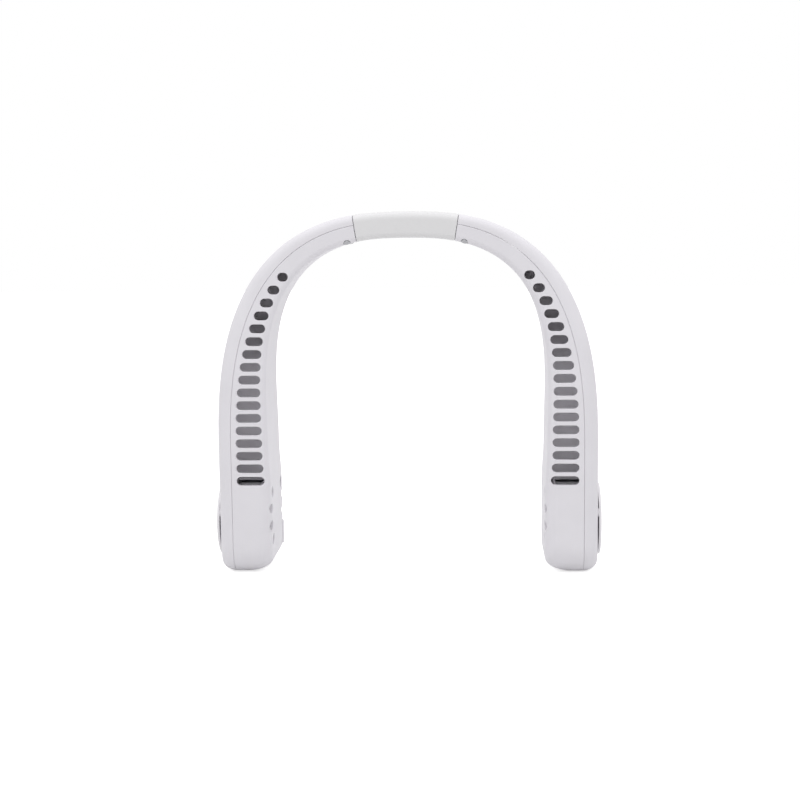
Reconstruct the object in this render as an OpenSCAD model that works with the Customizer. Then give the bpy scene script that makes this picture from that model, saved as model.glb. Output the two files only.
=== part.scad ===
// Neck fan: two hollow arms joined by a soft neck band. Each arm holds a blower,
// a battery and a duct, and blows through a row of slots in its front face.
// The fan stands on its two feet: +Z is up, the slots face -Y, and the wearer's
// left and right are +X and -X. The origin is on the floor, midway between the feet.

/* [Arch] */
// Half of the width across the two arms
half_w = 93.1; // [88:0.1:98]
// Height of the crown of the arch above the floor
crown_h = 177.6; // [172:0.1:190]
// Height at which the straight legs turn into the arch
shoulder_h = 61.5; // [58:0.5:68]
// Thickness of an arm, outer to inner face, at its foot
foot_t = 26; // [25.2:0.1:28]
// Thickness of an arm at the shoulder
leg_t = 25; // [24:0.1:26]
// Thickness of the neck band
band_t = 12.8; // [12:0.1:14]
// Depth of an arm, front to back, at its foot
foot_d = 49; // [48:0.5:54]
// Depth of the neck band, front to back
band_d = 27; // [25:0.5:30]
// Height below which an arm keeps its full thickness
full_h = 41; // [38:0.5:46]

/* [Foot] */
// Reach of the rounding at the outer edge of the sole
sole_out_r = 6.5; // [4:0.1:8]
// Height of the rounding at the outer edge of the sole
sole_out_h = 6.5; // [5.5:0.1:8]
// Reach of the rounding at the inner edge of the sole
sole_in_r = 15; // [11:0.1:15.5]
// Height of the rounding at the inner edge of the sole
sole_in_h = 8.2; // [6:0.1:9]
// Reach of the rounding at the front and back edges of the sole
sole_side_r = 14; // [12:0.5:16]
// Height of the rounding at the front and back edges of the sole
sole_side_h = 15; // [14.6:0.1:17]

/* [Shells] */
// Wall thickness of the arm shells
wall = 1.8; // [1.6:0.1:2]
// Distance of the parting line from the outer face, on the leg
seam_in = 7.1; // [6.5:0.1:7.8]
// Distance of the parting line from the outer face, at the crown
seam_band_in = 4.6; // [4.2:0.1:5.2]
// Gap between an arm's end and the neck band
band_gap = 0.25; // [0.2:0.05:0.5]

/* [Air slots] */
// Number of air slots in each arm
slot_count = 17; // [12:1:17]
// Distance between neighbouring slots
slot_pitch = 6.2; // [6:0.05:6.3]
// Height of one slot
slot_h = 4.3; // [3.6:0.1:4.5]
// Height of the lowest slot's centre
slot_low_h = 47.3; // [47:0.1:49]
// Distance of the slots' outer ends from the outer face
slot_out = 9.6; // [9:0.1:10.4]
// Distance of the slots' inner ends from the inner face
slot_in = 2.5; // [2.3:0.1:3.2]

/* [Intakes] */
// Number of steps round the ring on each inner face; its front and back ones are slots
ring_count = 14; // [10:2:14]
// Height of the ring's centre
ring_h = 28.5; // [28:0.1:30]
// Length of one ring slot
ring_slot_l = 5.8; // [5:0.1:6.2]
// Width of one ring slot
ring_slot_w = 4.6; // [4:0.1:4.8]
// Radius of the domed disc on each outer face
disc_r = 18; // [17.4:0.1:18.4]
// Height of the disc's centre
disc_h = 24.2; // [23.8:0.1:25]
// Thickness of the disc's rim
disc_t = 1.2; // [1:0.05:1.4]
// Rise of the disc's dome
disc_dome = 0.9; // [0.6:0.05:1.1]
// Gap between the disc and the outer face
disc_gap = 0.6; // [0.5:0.05:0.8]
// Radius of the posts that carry the disc
post_r = 2.2; // [1.9:0.1:2.3]
// Radius of the intake opening under the disc
intake_r = 13; // [12:0.1:13]

/* [Blower] */
// Height of the fan's axis
fan_h = 27; // [26.6:0.1:27.4]
// Radius of the impeller, as a share of the scroll's greatest radius
fan_share = 0.75; // [0.72:0.005:0.76]
// Length of the impeller along its axis
fan_w = 12; // [11:0.1:12.4]
// Number of impeller blades
blade_count = 26; // [18:1:30]
// Inner length of the blower housing along the axis
scroll_w = 14; // [13.8:0.1:14.4]
// Gap between the blower housing and the arm's front and back walls
blower_gap = 1.2; // [1:0.05:1.6]
// Wall thickness of the blower housing
scroll_wall = 1; // [0.9:0.05:1.1]
// Least radius of the scroll, as a share of its greatest radius
tongue_share = 0.825; // [0.81:0.005:0.84]
// Radius of the inlets, as a share of the scroll's greatest radius
inlet_share = 0.615; // [0.59:0.005:0.63]
// Radius of the motor's stator, as a share of the scroll's greatest radius
stator_share = 0.345; // [0.33:0.005:0.35]

/* [Battery] */
// Radius of the battery cell
cell_r = 8.5; // [8:0.1:8.6]
// Length of the battery cell
cell_l = 50; // [46:0.5:51]
// Height of the battery cell's lower end
cell_h = 51; // [50.5:0.1:51.5]

/* [Neck band] */
// Wall thickness of the soft sleeve
sleeve_wall = 2.2; // [2:0.1:2.4]
// Width of the spring strip, front to back
strip_w = 12; // [10:0.5:14]
// Thickness of the spring strip
strip_t = 0.6; // [0.5:0.05:0.7]
// Radius of the lead that joins the two arms
lead_r = 1.2; // [1:0.05:1.3]

/* [Controls] */
// Length of the power button
button_l = 12.4; // [11:0.1:12.6]
// Width of the power button
button_w = 4; // [3.6:0.1:4.2]
// Height of the power button's centre
button_h = 13.2; // [13:0.1:13.6]
// Distance that the power button stands proud
button_proud = 0.5; // [0.5:0.05:0.8]
// Travel of the power button
button_travel = 0.4; // [0.3:0.05:0.45]
// Width of the charging socket's shell
socket_w = 9; // [8.9:0.05:9.1]
// Height of the charging socket's shell
socket_h = 3.2; // [3.1:0.05:3.3]

/* [Hidden] */

// Squareness of the arch, as a power: an ellipse would have 2
arch_curve_share = 2.62;
// How soon the thickness falls along the arch, as a power of the direction's cosine
arch_thin_power = 2.5;
// How late the parting line moves outward along the arch, as a power of the direction's sine
seam_turn_power = 6;
// Corner radii of a section as shares of its thickness
out_corner_share = 0.3;
in_corner_share = 0.21;
// Direction, seen from the middle of the shoulder line, in which an arm ends
seam_deg = 77.2;
// Overrun of cuts past that end
over_deg = 2;
end_stretch = 1.3;
// Steps of the shells along and around an arm
corner_steps = 4;
sole_steps = 7;
leg_steps = 4;
arch_steps = 12;
band_steps = 8;

// Clearances and small sizes shared by several pieces
cut = 1;
slide_fit = 0.15;
seat_fit = 0.2;
pin_fit = 0.05;
least_r = 0.4;
ear_r = 2.6;
ear_degs = [20, 60, 225];
screw_r = 0.9;
screw_head_r = 1.7;
screw_head_h = 1.2;
post_pin_r = 0.9;
post_inset = 0.4;
post_degs = [21, 111, 201, 291];

// Places along X, from the inner face of the right arm outward
base_gap = 2.5;
bearing_r = 2.25;
bearing_wall = 0.9;
bearing_l = 6.6;
shaft_r = 1;
fan_gap = 1;
hub_wall = 0.7;
hub_top = 1;
hub_boss_r = 2.2;
magnet_t = 1;
magnet_l = 6.4;
magnet_gap = 0.5;
stator_core_share = 0.65;
stator_l = 4.6;
tooth_count = 6;
tooth_w = 1.6;
shoe_t = 0.8;
coil_w = 3.2;
coil_overhang = 0.7;
blade_t = 0.7;
blade_reach = 3.6;
blade_lead_deg = 16;
blade_hook_deg = 5;
rim_t = 0.8;
web_t = 1;
spoke_count = 3;
spoke_w = 2.4;
bell_h = 1.2;
outlet_h = 44.9;

// Duct wall and cell cradle
duct_clear = 3;
duct_t = 1.2;
duct_turn_h = 104;
duct_top_h = 122;
duct_top_y = 14;
cradle_hs = [58, 94];
cradle_t = 1.6;
cell_gap = 0.5;
cell_shift = 1;
cell_tip_r = 3;
cell_tip_h = 0.8;
cell_round = 0.8;

// Neck band fittings
spigot_deg = 80.4;
strip_end_deg = 72.6;
strip_over_deg = 0.3;
lead_end_deg = 70;
anchor_screw_deg = 74.6;
anchor_screw_tilt = 30;
anchor_screw_l = 6;
anchor_head_r = 1.7;
anchor_head_h = 1;
lead_inset = 3.9;
lead_sides = 8;

// Snap tabs that hold the outer shell in the inner one: height, and side in Y
tab_places = [[56, -1], [56, 1], [20, 1]];
tab_w = 8;
tab_t = 1.1;
tab_reach = 2.1;

// Charging socket, board and switch in the left arm, given for the mirrored arm
board_low_h = 6.2;
board_t = 1;
board_in = 3.5;
board_w = 12.4;
board_back = 13.9;
board_l = 8.6;
board_post_ins = [[3, 1.8], [9.6, 1.8]];
board_post_r = 1.6;
socket_in = 12.5;
socket_l = 7.2;
socket_recess = 0.35;
socket_wall = 0.3;
socket_depth = 5.8;
tongue_w = 6.7;
tongue_t = 0.7;
socket_gap = 0.2;
button_back = 4.7;
button_root = 0.7;
slot_by_button = 12;
flange_gap = 0.3;
flange_t = 1;
flange_ahead = 3.6;
flange_w = 3.3;
flange_low_h = 11.2;
flange_h = 6.4;
switch_ahead = 2.6;
switch_h = 6.6;
switch_w = 3.4;
switch_l = 3.2;
switch_gap = 0.6;
plunger_r = 0.7;
plunger_l = 0.6;
plunger_h = 12.6;

// Heights left free under the blower housing and under the ring of slots
blower_floor = 2.5;
ring_floor = 5;
ring_arc_share = 0.6;
ring_side = 3.1;

// Derived sizes
arch_rise = crown_h - shoulder_h;
inner_face = half_w - foot_t;
inner_wall_x = inner_face + wall;
ring_out_r = min(foot_d / 2, ring_h - ring_floor) - ring_side;
ring_in_r = ring_out_r - ring_slot_l;
scroll_out_r = min(foot_d / 2, fan_h - blower_floor) - wall - scroll_wall - blower_gap;
scroll_in_r = tongue_share * scroll_out_r;
fan_r = fan_share * scroll_out_r;
inlet_r = inlet_share * scroll_out_r;
stator_r = stator_share * scroll_out_r;
stator_core_r = stator_core_share * stator_r;
base_x = inner_wall_x + base_gap;
scroll_x = base_x + scroll_wall;
cover_x = scroll_x + scroll_w;
cover_top_x = cover_x + scroll_wall;
fan_x = scroll_x + fan_gap;
hub_r = stator_r + magnet_gap + magnet_t + hub_wall;
hub_x = fan_x + fan_w / 5;
hub_top_x = fan_x + 5 * fan_w / 6;
magnet_r = hub_r - hub_wall;
tube_r = bearing_r + bearing_wall;
post_place_r = disc_r - post_r - post_inset;
board_top_h = board_low_h + board_t;
board_x = inner_wall_x + board_in;
board_y = foot_d / 2 - board_back;
socket_x = inner_face + socket_in;
button_face = inner_face - button_proud;
button_y = foot_d / 2 - button_back;
flange_y = button_y - flange_ahead;
switch_y = button_y - switch_ahead;
flange_x = inner_wall_x + flange_gap;
switch_x = flange_x + flange_t + switch_gap + plunger_l;
stator_x = hub_x + coil_overhang;
anchor_deg = seam_deg * (arch_steps - 1) / arch_steps;

function smooth_step(u) = let (v = min(1, max(0, u))) v * v * (3 - 2 * v);
function reversed(list) = [for (i = [len(list) - 1:-1:0]) list[i]];

// Outer curve of the arch, its outward normal, and the size of the section there
function arch_r(a) =
    pow(pow(abs(cos(a)) / half_w, arch_curve_share)
        + pow(sin(a) / arch_rise, arch_curve_share), -1 / arch_curve_share);
function arch_point(a) = [arch_r(a) * cos(a), shoulder_h + arch_r(a) * sin(a)];
function arch_slope(a) = let (p = arch_point(a), e = arch_curve_share - 1)
    [sign(p.x) * pow(abs(p.x) / half_w, e) / half_w,
     pow((p.y - shoulder_h) / arch_rise, e) / arch_rise];
function arch_normal(a) = arch_slope(a) / norm(arch_slope(a));
function arch_t(a) = band_t + (leg_t - band_t) * pow(abs(cos(a)), arch_thin_power);
function arch_d(a) = band_d + (foot_d - band_d) * pow(cos(a), 2);
function seam_at(a) = seam_in + (seam_band_in - seam_in) * pow(sin(a), seam_turn_power);
function arch_inset(a, d) = arch_point(a) - d * arch_normal(a);
function arch_station(a) = [arch_point(a), arch_normal(a), arch_t(a), arch_d(a)];

// Straight leg, drawn in at the sole. Inside a wall w the roundings keep their centres.
function draw_in(z, r, h, w = 0) =
    z >= h ? 0 : (r - w) * (1 - sqrt(max(0, 1 - pow((h - z) / (h - w), 2))));
function leg_full_t(z) =
    leg_t + (foot_t - leg_t) * smooth_step((shoulder_h - z) / (shoulder_h - full_h));
function leg_station(z, w = 0) = [
    [half_w - draw_in(z, sole_out_r, sole_out_h, w), z],
    [1, 0],
    leg_full_t(z) - draw_in(z, sole_out_r, sole_out_h, w) - draw_in(z, sole_in_r, sole_in_h, w),
    foot_d - 2 * draw_in(z, sole_side_r, sole_side_h, w)
];

// One rounded section, moved inward by w, and the same section placed in space
function corner(cu, cy, r, a0) =
    [for (k = [0:corner_steps]) let (a = a0 + 90 * k / corner_steps)
        [cu + r * cos(a), cy + r * sin(a)]];
function section(t, d, w) =
    let (ro = max(out_corner_share * t - w, least_r), ri = max(in_corner_share * t - w, least_r))
    concat(
        corner(w + ro, -d / 2 + w + ro, ro, 180),
        corner(t - w - ri, -d / 2 + w + ri, ri, 270),
        corner(t - w - ri, d / 2 - w - ri, ri, 0),
        corner(w + ro, d / 2 - w - ro, ro, 90)
    );
function ring_at(s, w) =
    [for (q = section(s[2], s[3], w))
        [s[0].x - q.x * s[1].x, q.y, s[0].y - q.x * s[1].y]];

module loft(rings) {
    m = len(rings[0]);
    n = len(rings);
    points = [for (r = rings) for (p = r) p];
    sides = [for (j = [0:n - 2]) for (i = [0:m - 1]) let (k = (i + 1) % m)
        each [[j * m + i, j * m + k, j * m + m + k], [j * m + i, j * m + m + k, j * m + m + i]]];
    ends = [[for (i = [m - 1:-1:0]) i], [for (i = [0:m - 1]) (n - 1) * m + i]];
    polyhedron(points, concat(sides, ends));
}

// Stations of the loft: heights on the leg, directions on the arch
sole_zs = [for (k = [0:sole_steps]) sole_side_h * (1 - cos(90 * k / sole_steps))];
leg_zs = [for (k = [1:leg_steps]) sole_side_h + (shoulder_h - sole_side_h) * k / leg_steps];
function spread(from, to, steps) = [for (k = [0:steps]) from + (to - from) * k / steps];
function stretched(a, b) = [for (i = [0:len(a) - 1]) a[i] + (b[i] - a[i]) * end_stretch];
function past_first(list) = [for (i = [1:len(list) - 1]) list[i]];

module arm_body() {
    loft(concat(
        [for (z = concat(sole_zs, leg_zs)) ring_at(leg_station(z), 0)],
        [for (a = past_first(spread(0, seam_deg, arch_steps))) ring_at(arch_station(a), 0)]
    ));
}

module arm_cavity() {
    zs = concat([wall], [for (z = sole_zs) if (z > 1.2 * wall) z], leg_zs);
    loft(concat(
        [for (z = zs) ring_at(leg_station(z, wall), wall)],
        [for (a = past_first(spread(0, anchor_deg, arch_steps - 1))) ring_at(arch_station(a), wall)],
        [stretched(ring_at(arch_station(anchor_deg), wall), ring_at(arch_station(seam_deg), wall))]
    ));
}

module band_piece(from, to, w, steps) {
    loft([for (a = spread(from, to, steps)) ring_at(arch_station(a), w)]);
}

// Extrusions along X and along Y
module along_x(x, l) {
    translate([x, 0, 0]) rotate([90, 0, 90]) linear_extrude(height = l) children();
}
module along_y(l) {
    rotate([90, 0, 0]) linear_extrude(height = l, center = true) children();
}
module rod_x(x, l, r, y, z) {
    translate([x, y, z]) rotate([0, 90, 0]) cylinder(h = l, r = r, $fn = 48);
}

// Curves in the XZ plane, a distance inside the outer face or the inner face
function outer_curve(d, last) = concat(
    [[half_w - d, -cut], [half_w - d, shoulder_h]],
    [for (a = past_first(spread(0, last, arch_steps))) arch_inset(a, d)]
);
function inner_curve(d, last) = concat(
    [for (z = concat([-cut], leg_zs)) [half_w - leg_full_t(z) + d, z]],
    [for (a = past_first(spread(0, last, arch_steps))) arch_inset(a, arch_t(a) - d)]
);
module outer_side() {
    last = seam_deg + over_deg;
    along_y(foot_d + 2 * cut)
        polygon(concat(
            [[half_w - seam_in, -cut], [half_w - seam_in, shoulder_h]],
            [for (a = past_first(spread(0, last, arch_steps))) arch_inset(a, seam_at(a))],
            reversed(outer_curve(-2 * cut, last))
        ));
}
module between_walls(d) {
    along_y(foot_d)
        polygon(concat(outer_curve(wall + d, seam_deg), reversed(inner_curve(wall + d, seam_deg))));
}
function band_strip(low, high, from, to) =
    concat([for (a = spread(from, to, 2 * band_steps)) arch_inset(a, arch_t(a) / 2 - high)],
        reversed([for (a = spread(from, to, 2 * band_steps)) arch_inset(a, arch_t(a) / 2 + low)]));

// Ends of a slot at height z, found by halving the range of directions
function outer_deg(z, lo = 0, hi = 90, n = 24) =
    n == 0 ? lo : let (a = (lo + hi) / 2)
    arch_inset(a, slot_out).y < z ? outer_deg(z, a, hi, n - 1) : outer_deg(z, lo, a, n - 1);
function inner_deg(z, lo = 0, hi = 90, n = 24) =
    n == 0 ? lo : let (a = (lo + hi) / 2)
    arch_inset(a, arch_t(a) - slot_in).y < z ? inner_deg(z, a, hi, n - 1)
        : inner_deg(z, lo, a, n - 1);
function slot_ends(z) =
    z < shoulder_h ? [half_w - leg_full_t(z) + slot_in, half_w - slot_out] :
    let (ai = inner_deg(z), ao = outer_deg(z))
    [arch_inset(ai, arch_t(ai) - slot_in).x, arch_inset(ao, slot_out).x];

module stadium(l, w) {
    square([l - w, w], center = true);
    for (s = [-1, 1]) translate([s * (l - w) / 2, 0]) circle(d = w, $fn = 32);
}

module air_slots() {
    for (k = [0:slot_count - 1]) {
        z = slot_low_h + k * slot_pitch;
        e = slot_ends(z);
        d = z < shoulder_h ? foot_d : arch_d(outer_deg(z));
        translate([(e[0] + e[1]) / 2, -d / 2 + wall, z])
            along_y(4 * wall)
                stadium(max(e[1] - e[0], slot_h + least_r), slot_h);
    }
}

module ring_slots(skipped) {
    for (k = [0:ring_count - 1])
        if (k != skipped && abs(cos((k + 0.5) * 360 / ring_count)) > ring_arc_share)
            along_x(inner_face - wall, 3 * wall) translate([0, ring_h]) rotate((k + 0.5) * 360 / ring_count)
                translate([(ring_in_r + ring_out_r) / 2, 0])
                    stadium(ring_out_r - ring_in_r, ring_slot_w);
}

// Scroll of the blower: its outline in Y and Z, grown by d
function scroll_r(b) = scroll_in_r + (scroll_out_r - scroll_in_r) * b / 270;
function scroll_outline(d, top) = concat(
    [for (b = [0:15:270]) (scroll_r(b) + d) * [sin(b), cos(b)] + [0, fan_h]],
    [[-scroll_out_r - d, top], [d - scroll_wall, top]],
    d > 0 ? [] : [[-scroll_wall, fan_h + scroll_in_r]]
);
function ear_place(b) = (scroll_r(b) + scroll_wall / 3 + ear_r) * [sin(b), cos(b)] + [0, fan_h];
module ear_rods(x, l, r) {
    for (b = ear_degs) rod_x(x, l, r, ear_place(b).x, ear_place(b).y);
}

module intake_disc() {
    dome_r = (disc_r * disc_r + disc_dome * disc_dome) / (2 * disc_dome);
    dome_deg = asin(disc_r / dome_r);
    dome = [for (a = spread(dome_deg, 0, 12))
        [dome_r * sin(a), disc_t + dome_r * cos(a) - dome_r * cos(dome_deg)]];
    translate([half_w + disc_gap, 0, disc_h]) rotate([0, 90, 0])
        rotate_extrude($fn = 96) polygon(concat([[0, 0], [disc_r, 0]], dome));
    for (a = post_degs) {
        y = -post_place_r * cos(a);
        z = disc_h + post_place_r * sin(a);
        rod_x(half_w, disc_gap, post_r, y, z);
        rod_x(half_w - wall, wall, post_pin_r, y, z);
    }
}

module outer_shell() {
    difference() {
        union() {
            intersection() {
                difference() {
                    arm_body();
                    arm_cavity();
                }
                outer_side();
            }
            snap_tabs();
        }
        rod_x(half_w - wall - cut, wall + 2 * cut, intake_r, 0, disc_h);
        for (a = post_degs)
            rod_x(half_w - wall - cut, wall + 2 * cut, post_pin_r + pin_fit,
                -post_place_r * cos(a), disc_h + post_place_r * sin(a));
    }
}

module snap_tabs() {
    for (p = tab_places)
        translate([half_w - seam_in - tab_reach,
            p[1] * (foot_d / 2 - wall - slide_fit - tab_t / 2) - tab_t / 2, p[0] - tab_w / 2])
            cube([tab_reach + seam_in / 2, tab_t, tab_w]);
}

// Anchor screws enter through the rounding between the underside and the front or back
module anchor_screw_places() {
    t = arch_t(anchor_screw_deg);
    r = in_corner_share * t;
    p = arch_inset(anchor_screw_deg, t - r * (1 - cos(anchor_screw_tilt)));
    y = arch_d(anchor_screw_deg) / 2 - r * (1 - sin(anchor_screw_tilt));
    v = arch_normal(anchor_screw_deg);
    for (s = [-1, 1]) translate([p.x, s * y, p.y])
        rotate([0, 90 - atan2(v.y, v.x), 0]) rotate([s * anchor_screw_tilt, 0, 0]) children();
}

module inner_shell(left) {
    difference() {
        union() {
            difference() {
                arm_body();
                arm_cavity();
                outer_side();
            }
            ear_rods(inner_wall_x - wall / 3, base_gap + wall / 3, ear_r);
            if (left) for (p = board_post_ins)
                translate([board_x + p.x, board_y + p.y, wall - least_r])
                    cylinder(h = board_low_h - wall + least_r, r = board_post_r, $fn = 32);
        }
        air_slots();
        ring_slots(left ? slot_by_button : -1);
        ear_rods(inner_wall_x, base_gap + cut, screw_r + pin_fit);
        anchor_screw_places() {
            translate([0, 0, -cut]) cylinder(h = wall + 2 * cut, r = screw_r + pin_fit, $fn = 32);
            translate([0, 0, -cut])
                cylinder(h = anchor_head_h + cut, r = anchor_head_r + slide_fit, $fn = 32);
        }
        if (left) {
            socket_cutout();
            button_hole();
        }
    }
}

module socket_cutout() {
    translate([socket_x, foot_d / 2 - wall, board_top_h + socket_h / 2])
        along_y(4 * wall) stadium(socket_w + 2 * socket_gap, socket_h + 2 * socket_gap);
}
module button_hole() {
    along_x(inner_face - 2 * cut, wall + button_root + button_travel + 3 * cut)
        translate([button_y, button_h]) rotate(90)
            stadium(button_l + 2 * slide_fit, button_w + 2 * slide_fit);
}

module blower_base() {
    difference() {
        union() {
            along_x(base_x, scroll_wall) polygon(scroll_outline(scroll_wall, outlet_h));
            along_x(scroll_x, scroll_w) difference() {
                polygon(scroll_outline(scroll_wall, outlet_h));
                polygon(scroll_outline(0, outlet_h + cut));
            }
            ear_rods(base_x, scroll_w + scroll_wall, ear_r);
            rod_x(scroll_x, bearing_l + scroll_wall, tube_r, 0, fan_h);
        }
        along_x(base_x - cut, scroll_wall + 2 * cut) translate([0, fan_h]) difference() {
            circle(r = inlet_r, $fn = 96);
            circle(r = hub_r, $fn = 96);
            for (k = [0:spoke_count - 1]) rotate(k * 360 / spoke_count)
                translate([0, -spoke_w / 2]) square([inlet_r, spoke_w]);
        }
        rod_x(scroll_x, bearing_l + 2 * scroll_wall, bearing_r + pin_fit, 0, fan_h);
        ear_rods(base_x - cut, scroll_w + 4 * cut, screw_r + pin_fit);
    }
}

module blower_cover() {
    difference() {
        union() {
            along_x(cover_x, scroll_wall) polygon(scroll_outline(scroll_wall, outlet_h));
            rod_x(cover_x, scroll_wall + bell_h, inlet_r + scroll_wall, 0, fan_h);
            ear_rods(cover_x, scroll_wall, ear_r);
        }
        rod_x(cover_x - cut, scroll_wall + bell_h + 2 * cut, inlet_r, 0, fan_h);
        ear_rods(cover_x - cut, scroll_wall + 2 * cut, screw_r + pin_fit);
    }
}

module blower_screws() {
    ear_rods(inner_wall_x, cover_top_x - inner_wall_x, screw_r);
    ear_rods(cover_top_x, screw_head_h, screw_head_r);
}

// Rotor: cup with a shaft boss, a web, and forward curved blades between two rims
function blade_edge(side) = [for (u = [0:0.25:1])
    let (r = fan_r - blade_reach * (1 - u), a = blade_lead_deg * u * (1 - u) - blade_hook_deg * u)
    r * [cos(a), sin(a)] + side * blade_t / 2 * [sin(a), cos(a)]];
module impeller() {
    difference() {
        union() {
            rod_x(hub_x, hub_top_x - hub_x, hub_r, 0, fan_h);
            along_x(fan_x + (fan_w - web_t) / 2, web_t) translate([0, fan_h])
                circle(r = fan_r, $fn = 96);
        }
        rod_x(hub_x - cut, hub_top_x - hub_top - hub_x + cut, magnet_r, 0, fan_h);
    }
    difference() {
        rod_x(hub_top_x - 3 * hub_top, 5 * hub_top / 2, hub_boss_r, 0, fan_h);
        rod_x(hub_x, hub_top_x - hub_top - hub_x, shaft_r + pin_fit / 5, 0, fan_h);
    }
    for (x = [fan_x, fan_x + fan_w - rim_t])
        along_x(x, rim_t) translate([0, fan_h]) difference() {
            circle(r = fan_r, $fn = 96);
            circle(r = fan_r - rim_t, $fn = 96);
        }
    along_x(fan_x, fan_w) translate([0, fan_h])
        for (k = [0:blade_count - 1]) rotate(k * 360 / blade_count)
            polygon(concat(blade_edge(-1), reversed(blade_edge(1))));
}

module rotor_magnet() {
    difference() {
        rod_x(hub_x, magnet_l, magnet_r, 0, fan_h);
        rod_x(hub_x - cut, magnet_l + 2 * cut, magnet_r - magnet_t, 0, fan_h);
    }
}
module motor_shaft() {
    rod_x(scroll_x + pin_fit, hub_top_x - hub_top - scroll_x - pin_fit, shaft_r, 0, fan_h);
}
module motor_bearing() {
    difference() {
        rod_x(scroll_x, bearing_l, bearing_r, 0, fan_h);
        rod_x(scroll_x - cut, bearing_l + 2 * cut, shaft_r + pin_fit, 0, fan_h);
    }
}
module tooth_places() {
    for (k = [0:tooth_count - 1]) rotate(k * 360 / tooth_count) children();
}
module motor_stator() {
    along_x(stator_x, stator_l) translate([0, fan_h]) difference() {
        union() {
            circle(r = stator_core_r, $fn = 64);
            tooth_places() translate([0, -tooth_w / 2]) square([stator_r - shoe_t / 2, tooth_w]);
            intersection() {
                difference() {
                    circle(r = stator_r, $fn = 64);
                    circle(r = stator_r - shoe_t, $fn = 64);
                }
                tooth_places() translate([0, -0.4 * stator_r]) square([stator_r, 0.8 * stator_r]);
            }
        }
        circle(r = tube_r, $fn = 64);
    }
}
module motor_coils() {
    wide = sqrt(pow(stator_r - shoe_t, 2) - pow(coil_w / 2, 2)) - stator_core_r - pin_fit;
    translate([stator_x - coil_overhang, 0, fan_h]) for (k = [0:tooth_count - 1])
        rotate([k * 360 / tooth_count, 0, 0]) difference() {
            translate([0, stator_core_r, -coil_w / 2])
                cube([stator_l + 2 * coil_overhang, wide, coil_w]);
            translate([coil_overhang, stator_core_r - cut, -tooth_w / 2])
                cube([stator_l, wide + 2 * cut, tooth_w]);
        }
}

module duct_wall() {
    low_h = outlet_h + seat_fit;
    duct_y = cell_y() - cell_r - duct_clear;
    intersection() {
        union() {
            along_x(0, half_w)
                polygon([[duct_y, low_h], [duct_y, duct_turn_h], [duct_top_y, duct_top_h],
                    [duct_top_y + duct_t, duct_top_h], [duct_y + duct_t, duct_turn_h],
                    [duct_y + duct_t, low_h]]);
            for (z = cradle_hs) translate([0, duct_y, z - cradle_t / 2])
                cube([half_w, cell_y() - duct_y, cradle_t]);
        }
        difference() {
            between_walls(slide_fit);
            translate([cell_x(), cell_y(), 0])
                cylinder(h = cell_h + cell_l + cell_gap, r = cell_r + slide_fit, $fn = 64);
        }
    }
}
// Cell centre: midway between the walls near its top, and close to the back wall
function cell_top_deg() = outer_deg(cell_h + cell_l);
function cell_x() =
    (half_w + arch_inset(cell_top_deg(), arch_t(cell_top_deg())).x) / 2 - cell_shift;
function cell_y() = arch_d(cell_top_deg()) / 2 - wall - cell_gap - cell_r;
module battery() {
    translate([cell_x(), cell_y(), cell_h]) {
        rotate_extrude($fn = 64) polygon([[0, 0], [cell_r - cell_round, 0], [cell_r, cell_round],
            [cell_r, cell_l - cell_round], [cell_r - cell_round, cell_l], [0, cell_l]]);
        translate([0, 0, cell_l]) cylinder(h = cell_tip_h, r = cell_tip_r, $fn = 32);
    }
}

module band_anchor() {
    difference() {
        union() {
            band_piece(anchor_deg, seam_deg, wall + slide_fit, 1);
            band_piece(seam_deg - 1, spigot_deg, sleeve_wall + slide_fit, 1);
        }
        along_y(strip_w + 2 * slide_fit)
            polygon(band_strip(strip_t / 2 + slide_fit, strip_t / 2 + slide_fit,
                strip_end_deg - strip_over_deg, 180 - strip_end_deg));
        along_y(2 * lead_r + 2 * slide_fit)
            polygon(band_strip(-strip_t / 2, band_t / 2, anchor_deg - over_deg, 180 - anchor_deg));
        anchor_screw_places() translate([0, 0, -cut])
            cylinder(h = wall + anchor_screw_l + cut, r = screw_r + pin_fit, $fn = 32);
    }
}
module anchor_screws() {
    anchor_screw_places() {
        translate([0, 0, anchor_head_h - 0.8 * anchor_head_h])
            cylinder(h = 0.8 * anchor_head_h, r = anchor_head_r, $fn = 32);
        translate([0, 0, anchor_head_h]) cylinder(h = anchor_screw_l, r = screw_r, $fn = 32);
    }
}

module power_button() {
    along_x(button_face, button_proud + wall + button_root)
        translate([button_y, button_h]) rotate(90) stadium(button_l, button_w);
    translate([flange_x, flange_y, flange_low_h]) cube([flange_t, flange_w, flange_h]);
    rod_x(flange_x, flange_t + switch_gap - button_travel - pin_fit, plunger_r, switch_y, plunger_h);
}
module control_board() {
    translate([board_x, board_y, board_low_h]) cube([board_w, board_l, board_t]);
}
module power_switch() {
    translate([switch_x, switch_y - switch_w / 2, board_top_h]) cube([switch_l, switch_w, switch_h]);
    rod_x(switch_x - plunger_l, plunger_l, plunger_r, switch_y, plunger_h);
}
module charging_socket() {
    mouth_y = foot_d / 2 - draw_in(board_top_h + socket_h / 2, sole_side_r, sole_side_h)
        - socket_recess;
    translate([socket_x, mouth_y - socket_l / 2, board_top_h + socket_h / 2]) {
        difference() {
            along_y(socket_l) stadium(socket_w, socket_h);
            translate([0, (socket_l - socket_depth) / 2 + cut / 2, 0])
                along_y(socket_depth + cut)
                    stadium(socket_w - 2 * socket_wall, socket_h - 2 * socket_wall);
        }
        along_y(socket_l - 2 * socket_wall) square([tongue_w, tongue_t], center = true);
    }
}

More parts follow.
